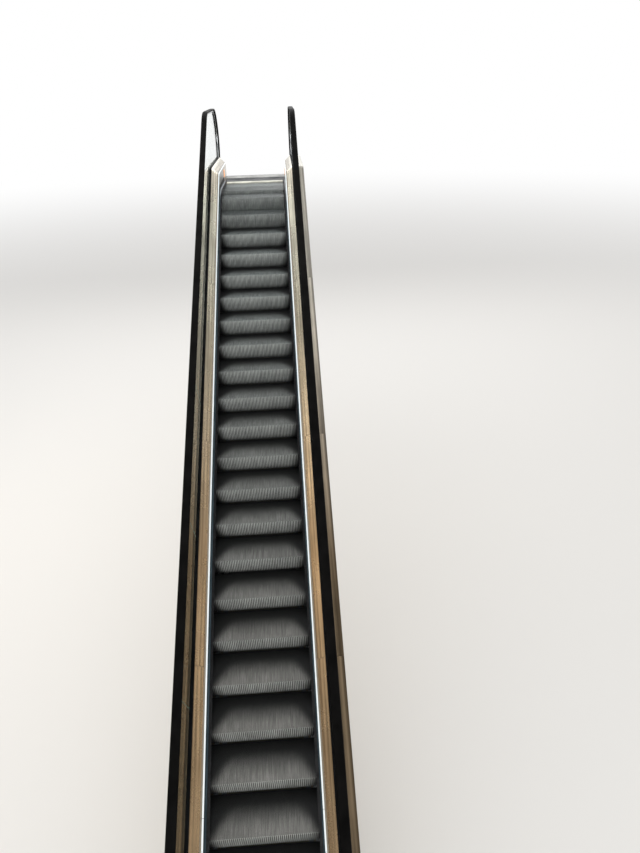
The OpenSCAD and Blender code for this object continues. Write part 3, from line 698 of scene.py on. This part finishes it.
# %% [markdown]
# A step is one casting: a tread, and a curved riser struck from the tread's rear edge, so that the gap to
# the step below stays the same while steps rise past each other. The tread has 118 cleats at 8.5 mm, which
# the comb's teeth need, and two of them at a time run into one broad tooth of the riser. They are real bars
# and not a bump.

# %% One step
CLEATS, CLEAT_W, CLEAT_H, PLATE_T, RISER = 118, 0.0034, 0.010, 0.012, 0.214
CLEAT_GAP = (STEP_W - CLEAT_W) / (CLEATS - 1)
NOSE, NOSE_LEAN, TOOTH_INSET, RISER_CHORDS = 0.0026, 1.01, 0.0018, 8
ARM_X, ARM_T, ARM_WEAR = (-0.424, 0.408), 0.016, -0.2


def riser_line(depth, angles=()):
    """The tread line and the riser arc, struck from the tread's rear edge, at a depth below the surface."""
    r = TREAD - depth
    start = [(TREAD, -depth), (NOSE + depth, -depth), (depth * NOSE_LEAN, -NOSE - depth)]
    return start + [(TREAD - r * math.cos(w), -r * math.sin(w)) for w in angles]


bottom = math.asin(RISER / TREAD)
angles = [bottom * i / RISER_CHORDS for i in range(1, RISER_CHORDS + 1)]
nosing_v = [TREAD, NOSE, -NOSE] + [-TREAD * w for w in angles]
tread_cleats = [strip_prism("cleat", riser_line(0), riser_line(CLEAT_H), x, x + CLEAT_W, nosing_v[:3])
                for x in (0, CLEAT_GAP)]
tooth = strip_prism("tooth", riser_line(0, angles)[2:], riser_line(CLEAT_H, angles)[2:], TOOTH_INSET,
                    CLEAT_GAP + CLEAT_W - TOOTH_INSET, nosing_v[2:])
cleat_pair = marked(joined("cleat_pair", tread_cleats + [tooth]), 1)
plate = marked(strip_prism("plate", riser_line(CLEAT_H, angles), riser_line(CLEAT_H + PLATE_T, angles),
                           -STEP_W / 2, STEP_W / 2, nosing_v), 0)
ARM = [(0.022, -0.021), (0.392, -0.021), (0.374, -0.16), (0.352, -0.208), (0.305, -0.208), (0.18, -0.112),
       (0.15, -0.212), (0.098, -0.212), (0.07, -0.17), (0.036, -0.11)]
arms = [prism("arm", ARM, x, x + ARM_T, [ARM_WEAR] * len(ARM)) for x in ARM_X]
step_body = joined("step_body", [plate] + arms)
print("one step has", CLEATS, "cleats", round(CLEAT_GAP * 1000, 2), "mm apart")

# %% [markdown]
# The steps stand on the step path, one pitch apart along the slope. In the bends and on the level stretches
# the same distance along the path holds, which is why the risers vanish near the combs.

# %% All steps
T1, T2 = BEND_LOW * math.tan(SLOPE / 2), BEND_UP * math.tan(SLOPE / 2)
S_FIRST = 2 * T1 - BEND_LOW * SLOPE - COMB_RUN
S_LAST = LENGTH - 2 * T2 + BEND_UP * SLOPE + COMB_RUN
UNDER_COMB, SHARES = 0.03, (0.2, 0.5, 0.8)


def path_pt(s):
    """The nosing at distance s along the slope from the lower working point."""
    if s < T1 - BEND_LOW * SLOPE:
        return -T1 - (T1 - s - BEND_LOW * SLOPE), 0
    if s < T1:
        w = SLOPE - (T1 - s) / BEND_LOW
        return -T1 + BEND_LOW * math.sin(w), BEND_LOW * (1 - math.cos(w))
    if s <= LENGTH - T2:
        return s * math.cos(SLOPE), s * math.sin(SLOPE)
    if s < LENGTH - T2 + BEND_UP * SLOPE:
        w = SLOPE - (s - LENGTH + T2) / BEND_UP
        return RUN + T2 - BEND_UP * math.sin(w), RISE - BEND_UP * (1 - math.cos(w))
    return RUN + T2 + (s - LENGTH + T2 - BEND_UP * SLOPE), RISE


first = math.ceil((S_FIRST - TREAD - PHASE) / PITCH)
last = math.floor((S_LAST + UNDER_COMB - PHASE) / PITCH)
marks = [first] + [first + math.floor((last - first + 1) * k) for k in SHARES] + [last + 1]
for name, j0, j1 in zip(STEP_NODES, marks, marks[1:]):
    nosings = [path_pt(PHASE + j * PITCH) for j in range(j0, j1)]
    piece = row_piece(name + "_cleated", [row(0, y, z - TREAD_DROP) for y, z in nosings], cleat_pair,
                      step_body, CLEATS // 2, (-STEP_W / 2, 0, 0), (2 * CLEAT_GAP, 0, 0), "step")
    keep(piece, [name], outward=False)
print(last + 1 - first, "steps")


# %% [markdown]
# Trims and handrails are one section that follows a path. The tree below turns a poly-line into a curve,
# sweeps the section along it and stores two lengths as the UV map: metres along the piece and metres round
# the section. A grain or a scuff can then follow the piece through every bend.

# %% Geometry tree: swept section
sweep, given, result = new_tree("sweep", "GeometryNodeTree",
                                [("Geometry", "Geometry"), ("Section", "Object"), ("Finish", "Material")])


def measured(mesh_line):
    """A poly-line as a curve, with each point's length along it."""
    curve = node(sweep, "GeometryNodeMeshToCurve", {0: mesh_line})
    keep_length = node(sweep, "GeometryNodeCaptureAttribute", domain="POINT")
    keep_length.capture_items.new("FLOAT", "Length")
    sofar = node(sweep, "GeometryNodeSplineParameter").outputs["Length"]
    sweep.links.new(curve.outputs[0], keep_length.inputs["Geometry"])
    sweep.links.new(sofar, keep_length.inputs["Length"])
    return keep_length.outputs["Geometry"], keep_length.outputs["Length"]


path_curve, along = measured(given["Geometry"])
section = node(sweep, "GeometryNodeObjectInfo", {"Object": given["Section"]})
outline_curve, around = measured(section.outputs["Geometry"])
swept = node(sweep, "GeometryNodeCurveToMesh", {"Curve": path_curve, "Profile Curve": outline_curve,
                                                "Fill Caps": True})
mapped = node(sweep, "GeometryNodeStoreNamedAttribute",
              {0: swept, "Name": UV, "Value": together(sweep, along, around)},
              data_type="FLOAT2", domain="CORNER")
end_tree(sweep, mapped, given, result)


def swept_piece(name, side, paths, section, look, x_mid):
    """Sweeps a section [(x, n)], drawn for the right side, along (y, z) paths; x_mid is where the path runs.

    A curve that sets out towards -Y carries its section upside down, so the section is turned to match."""
    heading = 1 if paths[0][1][0] > paths[0][0][0] else -1
    host = add(name, lines_mesh(name, [[row(side * x_mid, y, z) for y, z in p] for p in paths]))
    flat = [((x - x_mid) * side * heading, -n * heading, 0) for x, n in section]
    tool = add("section", lines_mesh("section", [flat], closed=True))
    return run_tree(host, sweep, Section=tool, Finish=FINISH[look])


def rounded(corners):
    """An outline with rounded corners, from (x, n, radius) in millimetres; three chords to a corner."""
    out = []
    for i, (x, n, r) in enumerate(corners):
        p, a, b = Vector((x, n)), Vector(corners[i - 1][:2]), Vector(corners[(i + 1) % len(corners)][:2])
        if not r:
            out.append(p)
            continue
        da, db = (a - p).normalized(), (b - p).normalized()
        cut = r / math.tan(da.angle(db) / 2)
        start, end = p + da * cut, p + db * cut
        rest = [start.lerp(end, k) * (1 - 2 * k * (1 - k)) + p * 2 * k * (1 - k) for k in (1 / 3, 2 / 3)]
        out += [start, *rest, end]
    return [(v.x / 1000, v.y / 1000) for v in out]


# %% [markdown]
# The decks, the lit edge strip and the brush rail come in lengths, with a narrow joint between two. A deck's
# joints lie just past each knee and at even distances between, the strip's halfway between those, and both
# sides have them at the same places. A rubber gasket closes the channel from the inner deck to the glass, in
# one length.

# %% Decks, edge strips and brush rails
DECK_LEN, STEP_LEN = path_length(DECK_PATH), path_length(STEP_PATH)
JOINT, PAST_LOW_KNEE, PAST_UP_KNEE, DECK_PARTS, RAIL_PARTS = 0.003, 0.35, 0.3, 4, 5
KNEE_LOW, KNEE_UP = DECK_RUN + PAST_LOW_KNEE, DECK_LEN - (DECK_RUN - PAST_UP_KNEE)
part = (KNEE_UP - KNEE_LOW) / DECK_PARTS
deck_cuts = [KNEE_LOW + part * i for i in range(DECK_PARTS + 1)]
strip_cuts = [KNEE_LOW + part * (i + 0.5) for i in range(DECK_PARTS)]
rail_cuts = [STEP_LEN * i / RAIL_PARTS for i in range(1, RAIL_PARTS)]
SHARP = 35
SK, DK, CH, C2, OUT = (1000 * x for x in (SKIRT_X, DECK_X, CHANNEL_X, CHANNEL_X2, OUT_X))
SECTIONS = {
    "inner_deck": (DECK_PATH, deck_cuts, "deck", "deck_steel",
                   [(DK, -82, 0), (CH - 8, -8.5, 0), (CH - 8, -8, 0), (CH, -8, 0), (CH, 0, 1.2),
                    (CH - 12, 0, 4), (DK, -75, 0)]),
    "outer_deck": (DECK_PATH, deck_cuts, "outer", "deck_steel",
                   [(OUT - 8, -45, 0), (OUT - 8, -18, 0), (OUT - 16, -11, 0), (C2, -6, 0), (C2, -3.9, 0),
                    (C2 - 14, -3.9, 0), (C2 - 14, 0, 1.2), (OUT - 14, -4, 6), (OUT, -14, 5), (OUT, -45, 0)]),
    "edge_strip": (DECK_PATH, strip_cuts, "strip", "edge_white",
                   [(DK, -88, 0), (DK, -75, 0), (SK - 2, -77, 2), (SK - 8, -81, 2), (SK - 8, -88, 0)]),
    "brush_holder": (STEP_PATH, rail_cuts, "holder", "brush_rail",
                     [(SK, 28, 0), (SK, 52, 0), (SK - 8, 52, 2), (SK - 22, 45, 2), (SK - 22, 33, 2),
                      (SK - 8, 28, 2)])}
for label, (path, cuts, look, slot, corners) in SECTIONS.items():
    for word, side in SIDES.items():
        piece = swept_piece("%s_%s_trim" % (label, word), side, lengths(path, cuts, JOINT),
                            rounded(corners), look, SKIRT_X)
        keep(piece, ["%s_%s" % (label, word)], SHARP)
GASKET = rounded([(CH - 12, 0.1, 0), (CH - 11, 1.7, 0), (CH + 17.6, 1.7, 0.6), (CH + 17.6, -3.9, 0),
                  (CH + 0.3, -3.9, 0), (CH + 0.3, 0.1, 0)])
for word, side in SIDES.items():
    keep(swept_piece("glass_gasket_" + word, side, [DECK_PATH], GASKET, "channel", SKIRT_X),
         sharp=SHARP)

# %% [markdown]
# The handrail is a rubber C that grips a steel guide. Its path is the glass edge: round the lower newel, up
# the slope and round the upper newel, then back into the deck end. The section has a slightly crowned top
# and rounded lips. The guide is a little shorter, because the handrail runs on into its inlet.

# %% Handrails and their guides
NEWEL_CHORDS, BEND_CHORDS, GUIDE_SHORT, RUBBER_SHARP = 64, 16, 6, 50
LIP_X, LIP_N, LIP_RX, LIP_RN, LIP_CHORDS, CROWN = 0.026, -0.0026, 0.014, 0.0134, 10, 0.0012
newel_low = arc(-NEWEL_RUN, NEWEL_Z, NEWEL_R, 260, 90, NEWEL_CHORDS)
newel_up = arc(RUN + NEWEL_RUN, RISE + NEWEL_Z, NEWEL_R, 90, -80, NEWEL_CHORDS)
middle = bent(RAIL_H, RAIL_END, RAIL_END, RAIL_BEND, RAIL_BEND, -NEWEL_RUN, RUN + NEWEL_RUN, BEND_CHORDS)
RAIL_PATH = newel_low + middle[1:-1] + newel_up
side_lip = [(LIP_X + LIP_RX * math.cos(w), LIP_N + LIP_RN * math.sin(w))
            for w in (math.radians(-90 + 180 * i / LIP_CHORDS) for i in range(LIP_CHORDS + 1))]
crown = [(LIP_X * k, LIP_N + LIP_RN + CROWN * (1 - k * k)) for k in (0.6, 0.2, -0.2, -0.6)]
RUBBER = [(0.016, -0.016)] + side_lip + crown + [(-x, n) for x, n in reversed(side_lip)] + \
    [(-0.016, -0.016), (-0.016, -0.008), (-0.029, -0.008), (-0.029, 0.0025), (0.029, 0.0025), (0.029, -0.008),
     (0.016, -0.008)]
GUIDE = [(-0.023, -0.0065), (-0.010, -0.0065), (-0.010, -0.038), (-0.0054, -0.038), (-0.0054, -0.02),
         (0.0054, -0.02), (0.0054, -0.038), (0.010, -0.038), (0.010, -0.0065), (0.031, -0.0065),
         (0.031, 0.0005), (-0.023, 0.0005)]
for word, side in SIDES.items():
    rubber = swept_piece("handrail_%s_rubber" % word, side, [RAIL_PATH], [(x + RAIL_X, n) for x, n in RUBBER],
                         "rubber", RAIL_X)
    keep(rubber, ["handrail_" + word], RUBBER_SHARP)
    guide = swept_piece("handrail_guide_%s_steel" % word, side, [RAIL_PATH[GUIDE_SHORT:-GUIDE_SHORT]],
                        [(x + GLASS_X, n) for x, n in GUIDE], "guide", GLASS_X)
    keep(guide, ["handrail_guide_" + word], SHARP)
print("handrail", round(path_length(RAIL_PATH), 2), "m as far as it shows")

# %% [markdown]
# Sheet metal and glass never have a dead sharp edge, and a thin rim is what catches the light. The CAD
# solids are copied, their loose triangles merged and their edges bevelled by a millimetre or so. The narrow
# rim of each pane gets the greener finish.

# %% Softened copies of plain solids
SAME_POINT, FLAT, CORNER, ACROSS_PANE = 1e-5, math.radians(1.5), math.radians(50), 0.9


def softened(name, suffix, look, width, rim=None, outward=True):
    """A copy of a CAD node with bevelled edges; rim is the finish of the faces that don't look along X."""
    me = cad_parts[name].data.copy()
    bm = bmesh.new()
    bm.from_mesh(me)
    bmesh.ops.remove_doubles(bm, verts=bm.verts, dist=SAME_POINT)
    bmesh.ops.dissolve_limit(bm, angle_limit=FLAT, verts=bm.verts, edges=bm.edges)
    bm.to_mesh(me)
    bm.free()
    piece = add("%s_%s" % (name, suffix), me)
    bevel = piece.modifiers.new("rim", "BEVEL")
    bevel.width, bevel.segments, bevel.limit_method, bevel.angle_limit = width, 1, "ANGLE", CORNER
    evaluated(piece)
    piece.data.materials.clear()
    for key in (look, rim) if rim else (look,):
        piece.data.materials.append(FINISH[key])
    for face in piece.data.polygons:
        face.material_index = int(bool(rim) and abs(face.normal.x) <= ACROSS_PANE)
    keep(piece, [name], outward=outward)


for word in SIDES:
    softened("glass_" + word, "panes", "glass", 0.0012, rim="glass_rim", outward=False)
for name, look, slot, width in (("newel_bases_upper", "newel", "deck_steel", 0.0015),
                                ("newel_bases_lower", "newel", "deck_steel", 0.0015),
                                ("handrail_inlets", "channel", "channel_black", 0.002),
                                ("side_panels_left", "cladding", "cladding_beige", 0.0008),
                                ("side_panels_right", "cladding", "cladding_beige", 0.0008),
                                ("soffit_panels", "cladding", "cladding_beige", 0.0008),
                                ("end_plates", "end", "end_plate_grey", 0.0015)):
    softened(name, "soft", look, width)

# %% [markdown]
# At both ends a brushed sheet covers the upright inner face, from the edge strip down to a hand's width over
# the floor, where the black skirt shows below it. It is a thin plate, cut to the strip's own path.

# %% Sheets on the inner faces of the deck ends


def offset(path, n):
    """A (y, z) path moved up by n, square to itself."""
    out = []
    for i, p in enumerate(path):
        a, b = path[max(i - 1, 0)], path[min(i + 1, len(path) - 1)]
        d = Vector((b[0] - a[0], b[1] - a[1])).normalized()
        out.append((p[0] - d.y * n, p[1] + d.x * n))
    return out


def cut_of(path, y0, y1):
    """The points of a (y, z) path between two places, with both ends on it."""
    out = []
    for p, q in zip(path, path[1:]):
        out += [between(p, q, (y - p[0]) / (q[0] - p[0])) for y in (y0, y1) if p[0] < y <= q[0]]
        if y0 < q[0] < y1:
            out.append(q)
    return sorted(out)


SHEET_LOW, SHEET_IN, SHEET_OUT, STRIP_UNDERSIDE = 0.1, 0.0014, 0.0006, -0.0888
FAR, UPPER_TOP, UPPER_FOOT, LOWER_TOP, LOWER_FOOT = COMB_RUN - 0.001, 0.02, -0.01, 0.12, 0.03
edge = offset(DECK_PATH, STRIP_UNDERSIDE)
sheets = {"upper": cut_of(edge, RUN + UPPER_TOP, RUN + FAR) +
          [(RUN + FAR, RISE + SHEET_LOW), (RUN + UPPER_FOOT, RISE + SHEET_LOW)],
          "lower": cut_of(edge, -FAR, LOWER_TOP) + [(LOWER_FOOT, SHEET_LOW), (-FAR, SHEET_LOW)]}
for word, outline in sheets.items():
    outline = [(y - SEAT.y, z - SEAT.z) for y, z in outline]
    both = [prism("sheet", outline, *sorted((side * (SKIRT_X - SHEET_IN), side * (SKIRT_X + SHEET_OUT))))
            for side in SIDES.values()]
    sheet = add("deck_end_sheets_" + word, joined("sheets", both))
    sheet.data.materials.append(FINISH["end_face"])
    keep(sheet)

# %% [markdown]
# The skirt brush has two rows of nylon tufts. The tree walks along the path, sets a tuft every few
# millimetres and leans each one a little, with a fixed seed, as used brushes do.

# %% Geometry tree: tufts along a path
tufts, given, result = new_tree(
    "tufts", "GeometryNodeTree",
    [("Geometry", "Geometry"), ("Tuft", "Object"), ("Spacing", "Float", 0.004), ("Lean", "Float", 0.08),
     ("Seed", "Int", 3), ("Finish", "Material")])
curve = node(tufts, "GeometryNodeMeshToCurve", {0: given["Geometry"]})
places = node(tufts, "GeometryNodeCurveToPoints", {"Curve": curve, "Length": given["Spacing"]}, mode="LENGTH")
less = calc(tufts, "MULTIPLY", given["Lean"], -1.0)
low, high = (together(tufts, lean, lean, lean) for lean in (less, given["Lean"]))
turn = node(tufts, "FunctionNodeRandomValue", {0: low, 1: high, "Seed": given["Seed"]},
            data_type="FLOAT_VECTOR")
tuft = node(tufts, "GeometryNodeObjectInfo", {"Object": given["Tuft"]}).outputs["Geometry"]
set_tufts = node(tufts, "GeometryNodeInstanceOnPoints",
                 {"Points": places, "Instance": tuft, "Rotation": turn})
end_tree(tufts, set_tufts, given, result)
TUFT_R0, TUFT_R1, TUFT_LEN, TUFT_GAP, TUFT_LEAN, TUFT_SEED = 0.0014, 0.0021, 0.0255, 0.0042, 0.07, 5
BRUSH_X, BRUSH_ROWS = SKIRT_X - 0.0222, (0.037, 0.041)
for word, side in SIDES.items():
    ends = [(side * -TUFT_LEN * k, r * cy, r * cz) for k, r in ((0, TUFT_R0), (1, TUFT_R1))
            for cy, cz in ((1, 1), (-1, 1), (-1, -1), (1, -1))]
    faces = [(0, 1, 2, 3), (4, 7, 6, 5)] + [(i, (i + 1) % 4, 4 + (i + 1) % 4, 4 + i) for i in range(4)]
    roots = [[row(side * BRUSH_X, y, z) for y, z in offset(STEP_PATH, n)] for n in BRUSH_ROWS]
    brush = run_tree(add("bristles_%s_tufts" % word, lines_mesh("brush", roots)), tufts,
                     Tuft=add("tuft", mesh_of("tuft", ends, faces)), Spacing=TUFT_GAP, Lean=TUFT_LEAN,
                     Seed=TUFT_SEED + side, Finish=FINISH["bristle"])
    keep(brush, ["bristles_" + word], outward=False)


# %% [markdown]
# Combs, comb plates and landing covers are rows again. They are drawn once in landing coordinates, with Y
# running off the steps, and turned about for the lower landing. A comb has one tooth in every groove of the
# tread, cast in segments that a mechanic can change, and its ribs carry on from the teeth.

# %% Landings: combs
LANDINGS = {"upper": (1, RUN, RISE), "lower": (-1, 0, 0)}
GROOVE, TOOTH_W, SEGMENTS, SEGMENT_GAP = CLEAT_GAP - CLEAT_W, 0.0026, 5, 0.0008
TOOTH = [(0, -0.022), (0, -0.0185), (0.006, -0.014), (0.060, -0.0009), (0.146, -0.0004), (0.150, -0.004),
         (0.060, -0.0100), (0.044, -0.0120), (0.020, -0.022)]
SEGMENT = [(0.048, -0.012), (0.048, -0.005), (0.066, -0.0022), (0.189, -0.0022), (0.190, -0.0032),
           (0.190, -0.012)]
COMB_SCREW_Y, COMB_SCREW_Z, COMB_SCREWS = 0.169, -0.0022, (0.22, 0.78)


def turned(outline, out):
    """An outline [(y, z)] in landing coordinates; out is 1 for the upper landing and -1 for the lower."""
    return [(y * out, z) for y, z in outline]


screw_spots = []
wide = STEP_W / SEGMENTS
for word, (out, y0, z0) in LANDINGS.items():
    base = row(0, y0 + out * COMB_RUN, z0)
    segments = [prism("segment", turned(SEGMENT, out), -STEP_W / 2 + wide * i + SEGMENT_GAP / 2,
                      -STEP_W / 2 + wide * (i + 1) - SEGMENT_GAP / 2) for i in range(SEGMENTS)]
    comb = row_piece("comb_%s_teeth" % word, [base], prism("tooth", turned(TOOTH, out), 0, TOOTH_W),
                     joined("segments", segments), CLEATS - 1,
                     (-STEP_W / 2 + CLEAT_W + (GROOVE - TOOTH_W) / 2, 0, 0), (CLEAT_GAP, 0, 0), "comb")
    keep(comb, ["comb_" + word])
    screw_spots += [base + Vector((-STEP_W / 2 + wide * (i + k), out * COMB_SCREW_Y, COMB_SCREW_Z))
                    for i in range(SEGMENTS) for k in COMB_SCREWS]

# %% [markdown]
# The comb plate carries the comb. It is a slab with fine ribs along the walking direction and a plain edge
# in front and behind. Its ribs run along Y, so their section is drawn across X and pushed along Y.

# %% Landings: comb plates
RIB, RIB_GAP, RIB_Z, BESIDE_RIBS = (0.0032, 0.0012), 0.0095, -0.0021, 0.03
PLATE_NEAR, PLATE_FAR, PLATE_BOTTOM, PLATE_TOP, SLAB_TOP = 0.1905, 0.43, -0.012, -0.0001, -0.002
PLATE_EDGES, RIB_ENDS = ((PLATE_NEAR, 0.205), (0.417, PLATE_FAR)), (0.210, 0.412)
PLATE_SCREW_X, PLATE_SCREW_Y, PLATE_SCREW_Z = (-0.47, -0.16, 0.16, 0.47), (0.1975, 0.4235), -0.0006


def box_section(half, low, high):
    return [(-half, low), (-half, high), (half, high), (half, low)]


def rib_section(half, bevel):
    """A rib: flat on top, with a sloping flank of width bevel on each side."""
    return [(-half, RIB_Z), (bevel - half, PLATE_TOP), (half - bevel, PLATE_TOP), (half, RIB_Z)]


def bar(name, section, y0, y1, out):
    """A section [(x, z), ...] pushed from y0 to y1 in landing coordinates."""
    me = prism(name, section, y0, y1)
    for v in me.vertices:
        v.co = (v.co.y, v.co.x * out, v.co.z)
    if out > 0:
        me.flip_normals()
    return me


ribs = int((2 * SKIRT_X - BESIDE_RIBS) / RIB_GAP)
plates = []
for word, (out, y0, z0) in LANDINGS.items():
    base = row(0, y0 + out * COMB_RUN, z0)
    slab = [bar("slab", box_section(SKIRT_X, PLATE_BOTTOM, SLAB_TOP), PLATE_NEAR, PLATE_FAR, out)]
    slab += [bar("edge", box_section(SKIRT_X, RIB_Z, PLATE_TOP), a, b, out) for a, b in PLATE_EDGES]
    rib = bar("rib", rib_section(*RIB), *RIB_ENDS, out)
    plates.append(row_piece("comb_plate_%s_ribs" % word, [base], rib, joined("plate", slab), ribs,
                            (-(ribs - 1) / 2 * RIB_GAP, 0, 0), (RIB_GAP, 0, 0), "plate"))
    screw_spots += [base + Vector((x, out * y, PLATE_SCREW_Z)) for x in PLATE_SCREW_X for y in PLATE_SCREW_Y]
both_plates = joined_pieces("both_comb_plates", plates)
both_plates.data.materials.append(FINISH["plate"])
keep(both_plates, ["comb_plates"])

# %% [markdown]
# The landing covers have their ribs across the walking direction. A narrow cover lies between the skirts,
# and two wide ones reach from side to side beyond the decks. The narrow one has the darker finish of the
# comb plate.

# %% Landings: covers
CROSS_RIB, CROSS_GAP, BEYOND_RIBS, RIB_INSET, PANEL_GAP = (0.0042, 0.0014), 0.0118, 0.012, 0.014, 0.0014
NARROW = (SKIRT_X - 0.001, COMB_RUN + 0.431, DECK_RUN + 0.002, 1)
WIDE = (SIDE_X - 0.013, DECK_RUN + 0.0035, TRUSS_RUN - 0.021, 2)
NARROW_END = DECK_RUN + 0.0028
for word, (out, y0, z0) in LANDINGS.items():
    covers = []
    for half, near, far, panels in (NARROW, WIDE):
        deep = (far - near) / panels
        for i in range(panels):
            a, b = near + deep * i + PANEL_GAP / 2, near + deep * (i + 1) - PANEL_GAP / 2
            count = int((b - a - BEYOND_RIBS) / CROSS_GAP)
            outline = [(a, PLATE_BOTTOM), (a, SLAB_TOP), (b, SLAB_TOP), (b, PLATE_BOTTOM)]
            panel = prism("panel", turned(outline, out), -half, half)
            rib = prism("rib", turned(rib_section(*CROSS_RIB), out), RIB_INSET - half, half - RIB_INSET)
            start = (a + b) / 2 - (count - 1) / 2 * CROSS_GAP
            covers.append(row_piece("cover", [row(0, y0, z0)], rib, panel, count, (0, start * out, 0),
                                    (0, CROSS_GAP * out, 0), "cover"))
    whole = joined_pieces("floor_plates_%s_ribs" % word, covers)
    for look in ("cover", "plate"):
        whole.data.materials.append(FINISH[look])
    for face in whole.data.polygons:
        face.material_index = int((face.center.y + SEAT.y - y0) * out < NARROW_END)
    keep(whole, ["floor_plates_" + word])

# %% [markdown]
# Screws hold the comb segments and the comb plates. The tree sets one at each point and gives it a random
# turn about its own axis, because nobody lines up screws.

# %% Geometry tree: screws
screws, given, result = new_tree(
    "screws", "GeometryNodeTree",
    [("Geometry", "Geometry"), ("Screw", "Object"), ("Turn", "Float", 3.14159), ("Seed", "Int", 7),
     ("Finish", "Material")])
turn = node(screws, "FunctionNodeRandomValue", {2: 0.0, 3: given["Turn"], "Seed": given["Seed"]},
            data_type="FLOAT")
about = node(screws, "ShaderNodeCombineXYZ", {2: turn.outputs[1]})
head = node(screws, "GeometryNodeObjectInfo", {"Object": given["Screw"]}).outputs["Geometry"]
heads = node(screws, "GeometryNodeInstanceOnPoints",
             {"Points": given["Geometry"], "Instance": head, "Rotation": about})
end_tree(screws, heads, given, result)

# %% [markdown]
# A screw has a low round head with a shallow hollow in its top. One is built, and the tree sets it at all
# the spots that the combs and their plates have noted.

# %% Landing screws
HEAD_R, HEAD_H, HEAD_SIDES, HEAD_RIM, HOLLOW = 0.0052, 0.0005, 18, 0.0022, 0.0003
bm = bmesh.new()
angles = [math.tau * i / HEAD_SIDES for i in range(HEAD_SIDES)]
bm.faces.new([bm.verts.new((HEAD_R * math.cos(w), HEAD_R * math.sin(w), 0)) for w in angles])
top = bmesh.ops.extrude_face_region(bm, geom=bm.faces[:])["geom"]
bmesh.ops.translate(bm, verts=[v for v in top if isinstance(v, bmesh.types.BMVert)], vec=(0, 0, HEAD_H))
cap = next(f for f in top if isinstance(f, bmesh.types.BMFace))
bmesh.ops.inset_region(bm, faces=[cap], thickness=HEAD_RIM)
bmesh.ops.translate(bm, verts=cap.verts, vec=(0, 0, -HOLLOW))
bmesh.ops.recalc_face_normals(bm, faces=bm.faces)
me = bpy.data.meshes.new("screw")
bm.to_mesh(me)
bm.free()
keep(run_tree(add("landing_screws", points_mesh("spots", screw_spots)), screws, Screw=add("screw", me),
              Turn=math.pi, Seed=7, Finish=FINISH["screw"]))


# %% [markdown]
# The stage is a plain pale floor under the machine's lowest edge. Far from the machine it looks white, so no
# horizon cuts through the picture, and from below it is clear, so the underside can be looked at. The world
# looks white too, while the light that falls on the machine stays at a plain level.

# %% Floor
FLOOR_Z, FLOOR_R, FADE = cad_box[0][2] - 0.002, 90, (11.0, 52.0)


def looked_at(tree):
    """1 for a ray that shows the background, straight, mirrored or through glass, and 0 for all others."""
    rays = node(tree, "ShaderNodeLightPath").outputs
    straight = calc(tree, "MAXIMUM", rays["Is Camera Ray"], rays["Is Transmission Ray"])
    return calc(tree, "MAXIMUM", straight, rays["Is Glossy Ray"])


corners = [(x * FLOOR_R, y * FLOOR_R, FLOOR_Z) for x, y in ((-1, -1), (1, -1), (1, 1), (-1, 1))]
floor = add("floor", mesh_of("floor", corners, [(0, 1, 2, 3)]))
pale_floor = bpy.data.materials.new("pale_floor")
pale_floor.use_nodes = True
t = pale_floor.node_tree
t.nodes.clear()
plain = node(t, "ShaderNodeBsdfPrincipled", {"Base Color": (0.8, 0.785, 0.76, 1), "Roughness": 0.8})
white = node(t, "ShaderNodeEmission", {"Color": (1, 1, 1, 1), "Strength": 1.0})
middle = (0, -SEAT.y / 2, FLOOR_Z)
away = node(t, "ShaderNodeVectorMath", {0: node(t, "ShaderNodeTexCoord").outputs["Object"], 1: middle},
            operation="DISTANCE").outputs["Value"]
faded = calc(t, "MULTIPLY", span(t, away, *FADE, line="SMOOTHSTEP"), looked_at(t))
above = node(t, "ShaderNodeMixShader", {0: faded, 1: plain, 2: white})
both = node(t, "ShaderNodeMixShader", {0: node(t, "ShaderNodeNewGeometry").outputs["Backfacing"], 1: above,
                                       2: node(t, "ShaderNodeBsdfTransparent")})
node(t, "ShaderNodeOutputMaterial", {0: both})
floor.data.materials.append(pale_floor)
print("floor at", round(FLOOR_Z, 3), "m")

# %% [markdown]
# The light is that of a hall: a wide soft light overhead, a brighter opening beyond the upper landing, which
# adds to the painted highlight on the front of each tread and the painted shade at its rear, a fill from
# behind the camera, and a weak warm light from the left.

# %% World and lamps
WORLD_LIGHT = 0.78
world = bpy.data.worlds.new("pale_world")
bpy.context.scene.world = world
world.use_nodes = True
t = world.node_tree
t.nodes.clear()
level = span(t, looked_at(t), 0.0, 1.0, WORLD_LIGHT, 1.0)
sky = node(t, "ShaderNodeBackground", {"Color": (1, 1, 1, 1), "Strength": level})
node(t, "ShaderNodeOutputWorld", {0: sky})


def softbox(name, place, target, size, watts, colour=(1, 1, 1)):
    """A rectangular lamp that faces its target."""
    lamp = bpy.data.lights.new(name, "AREA")
    lamp.shape, lamp.energy, lamp.color = "RECTANGLE", watts, colour
    lamp.size, lamp.size_y = size
    obj = bpy.data.objects.new(name, lamp)
    bpy.context.scene.collection.objects.link(obj)
    obj.location = place
    obj.rotation_euler = (Vector(target) - Vector(place)).to_track_quat("-Z", "Y").to_euler()


softbox("overhead", place=(-2.5, -4.0, 7.5), target=(0, -5.0, -1), size=(9, 12), watts=330)
softbox("beyond", place=(0, 8, 5), target=(0, -2, -0.5), size=(26, 5), watts=620)
softbox("front", place=(1.5, -21, 1.5), target=(0, -6, -2), size=(9, 6), watts=520)
softbox("window", place=(-7.5, -4, 1), target=(0.5, -5, -2), size=(7, 4), watts=90, colour=(1, 0.87, 0.7))
print("stage and light ready")
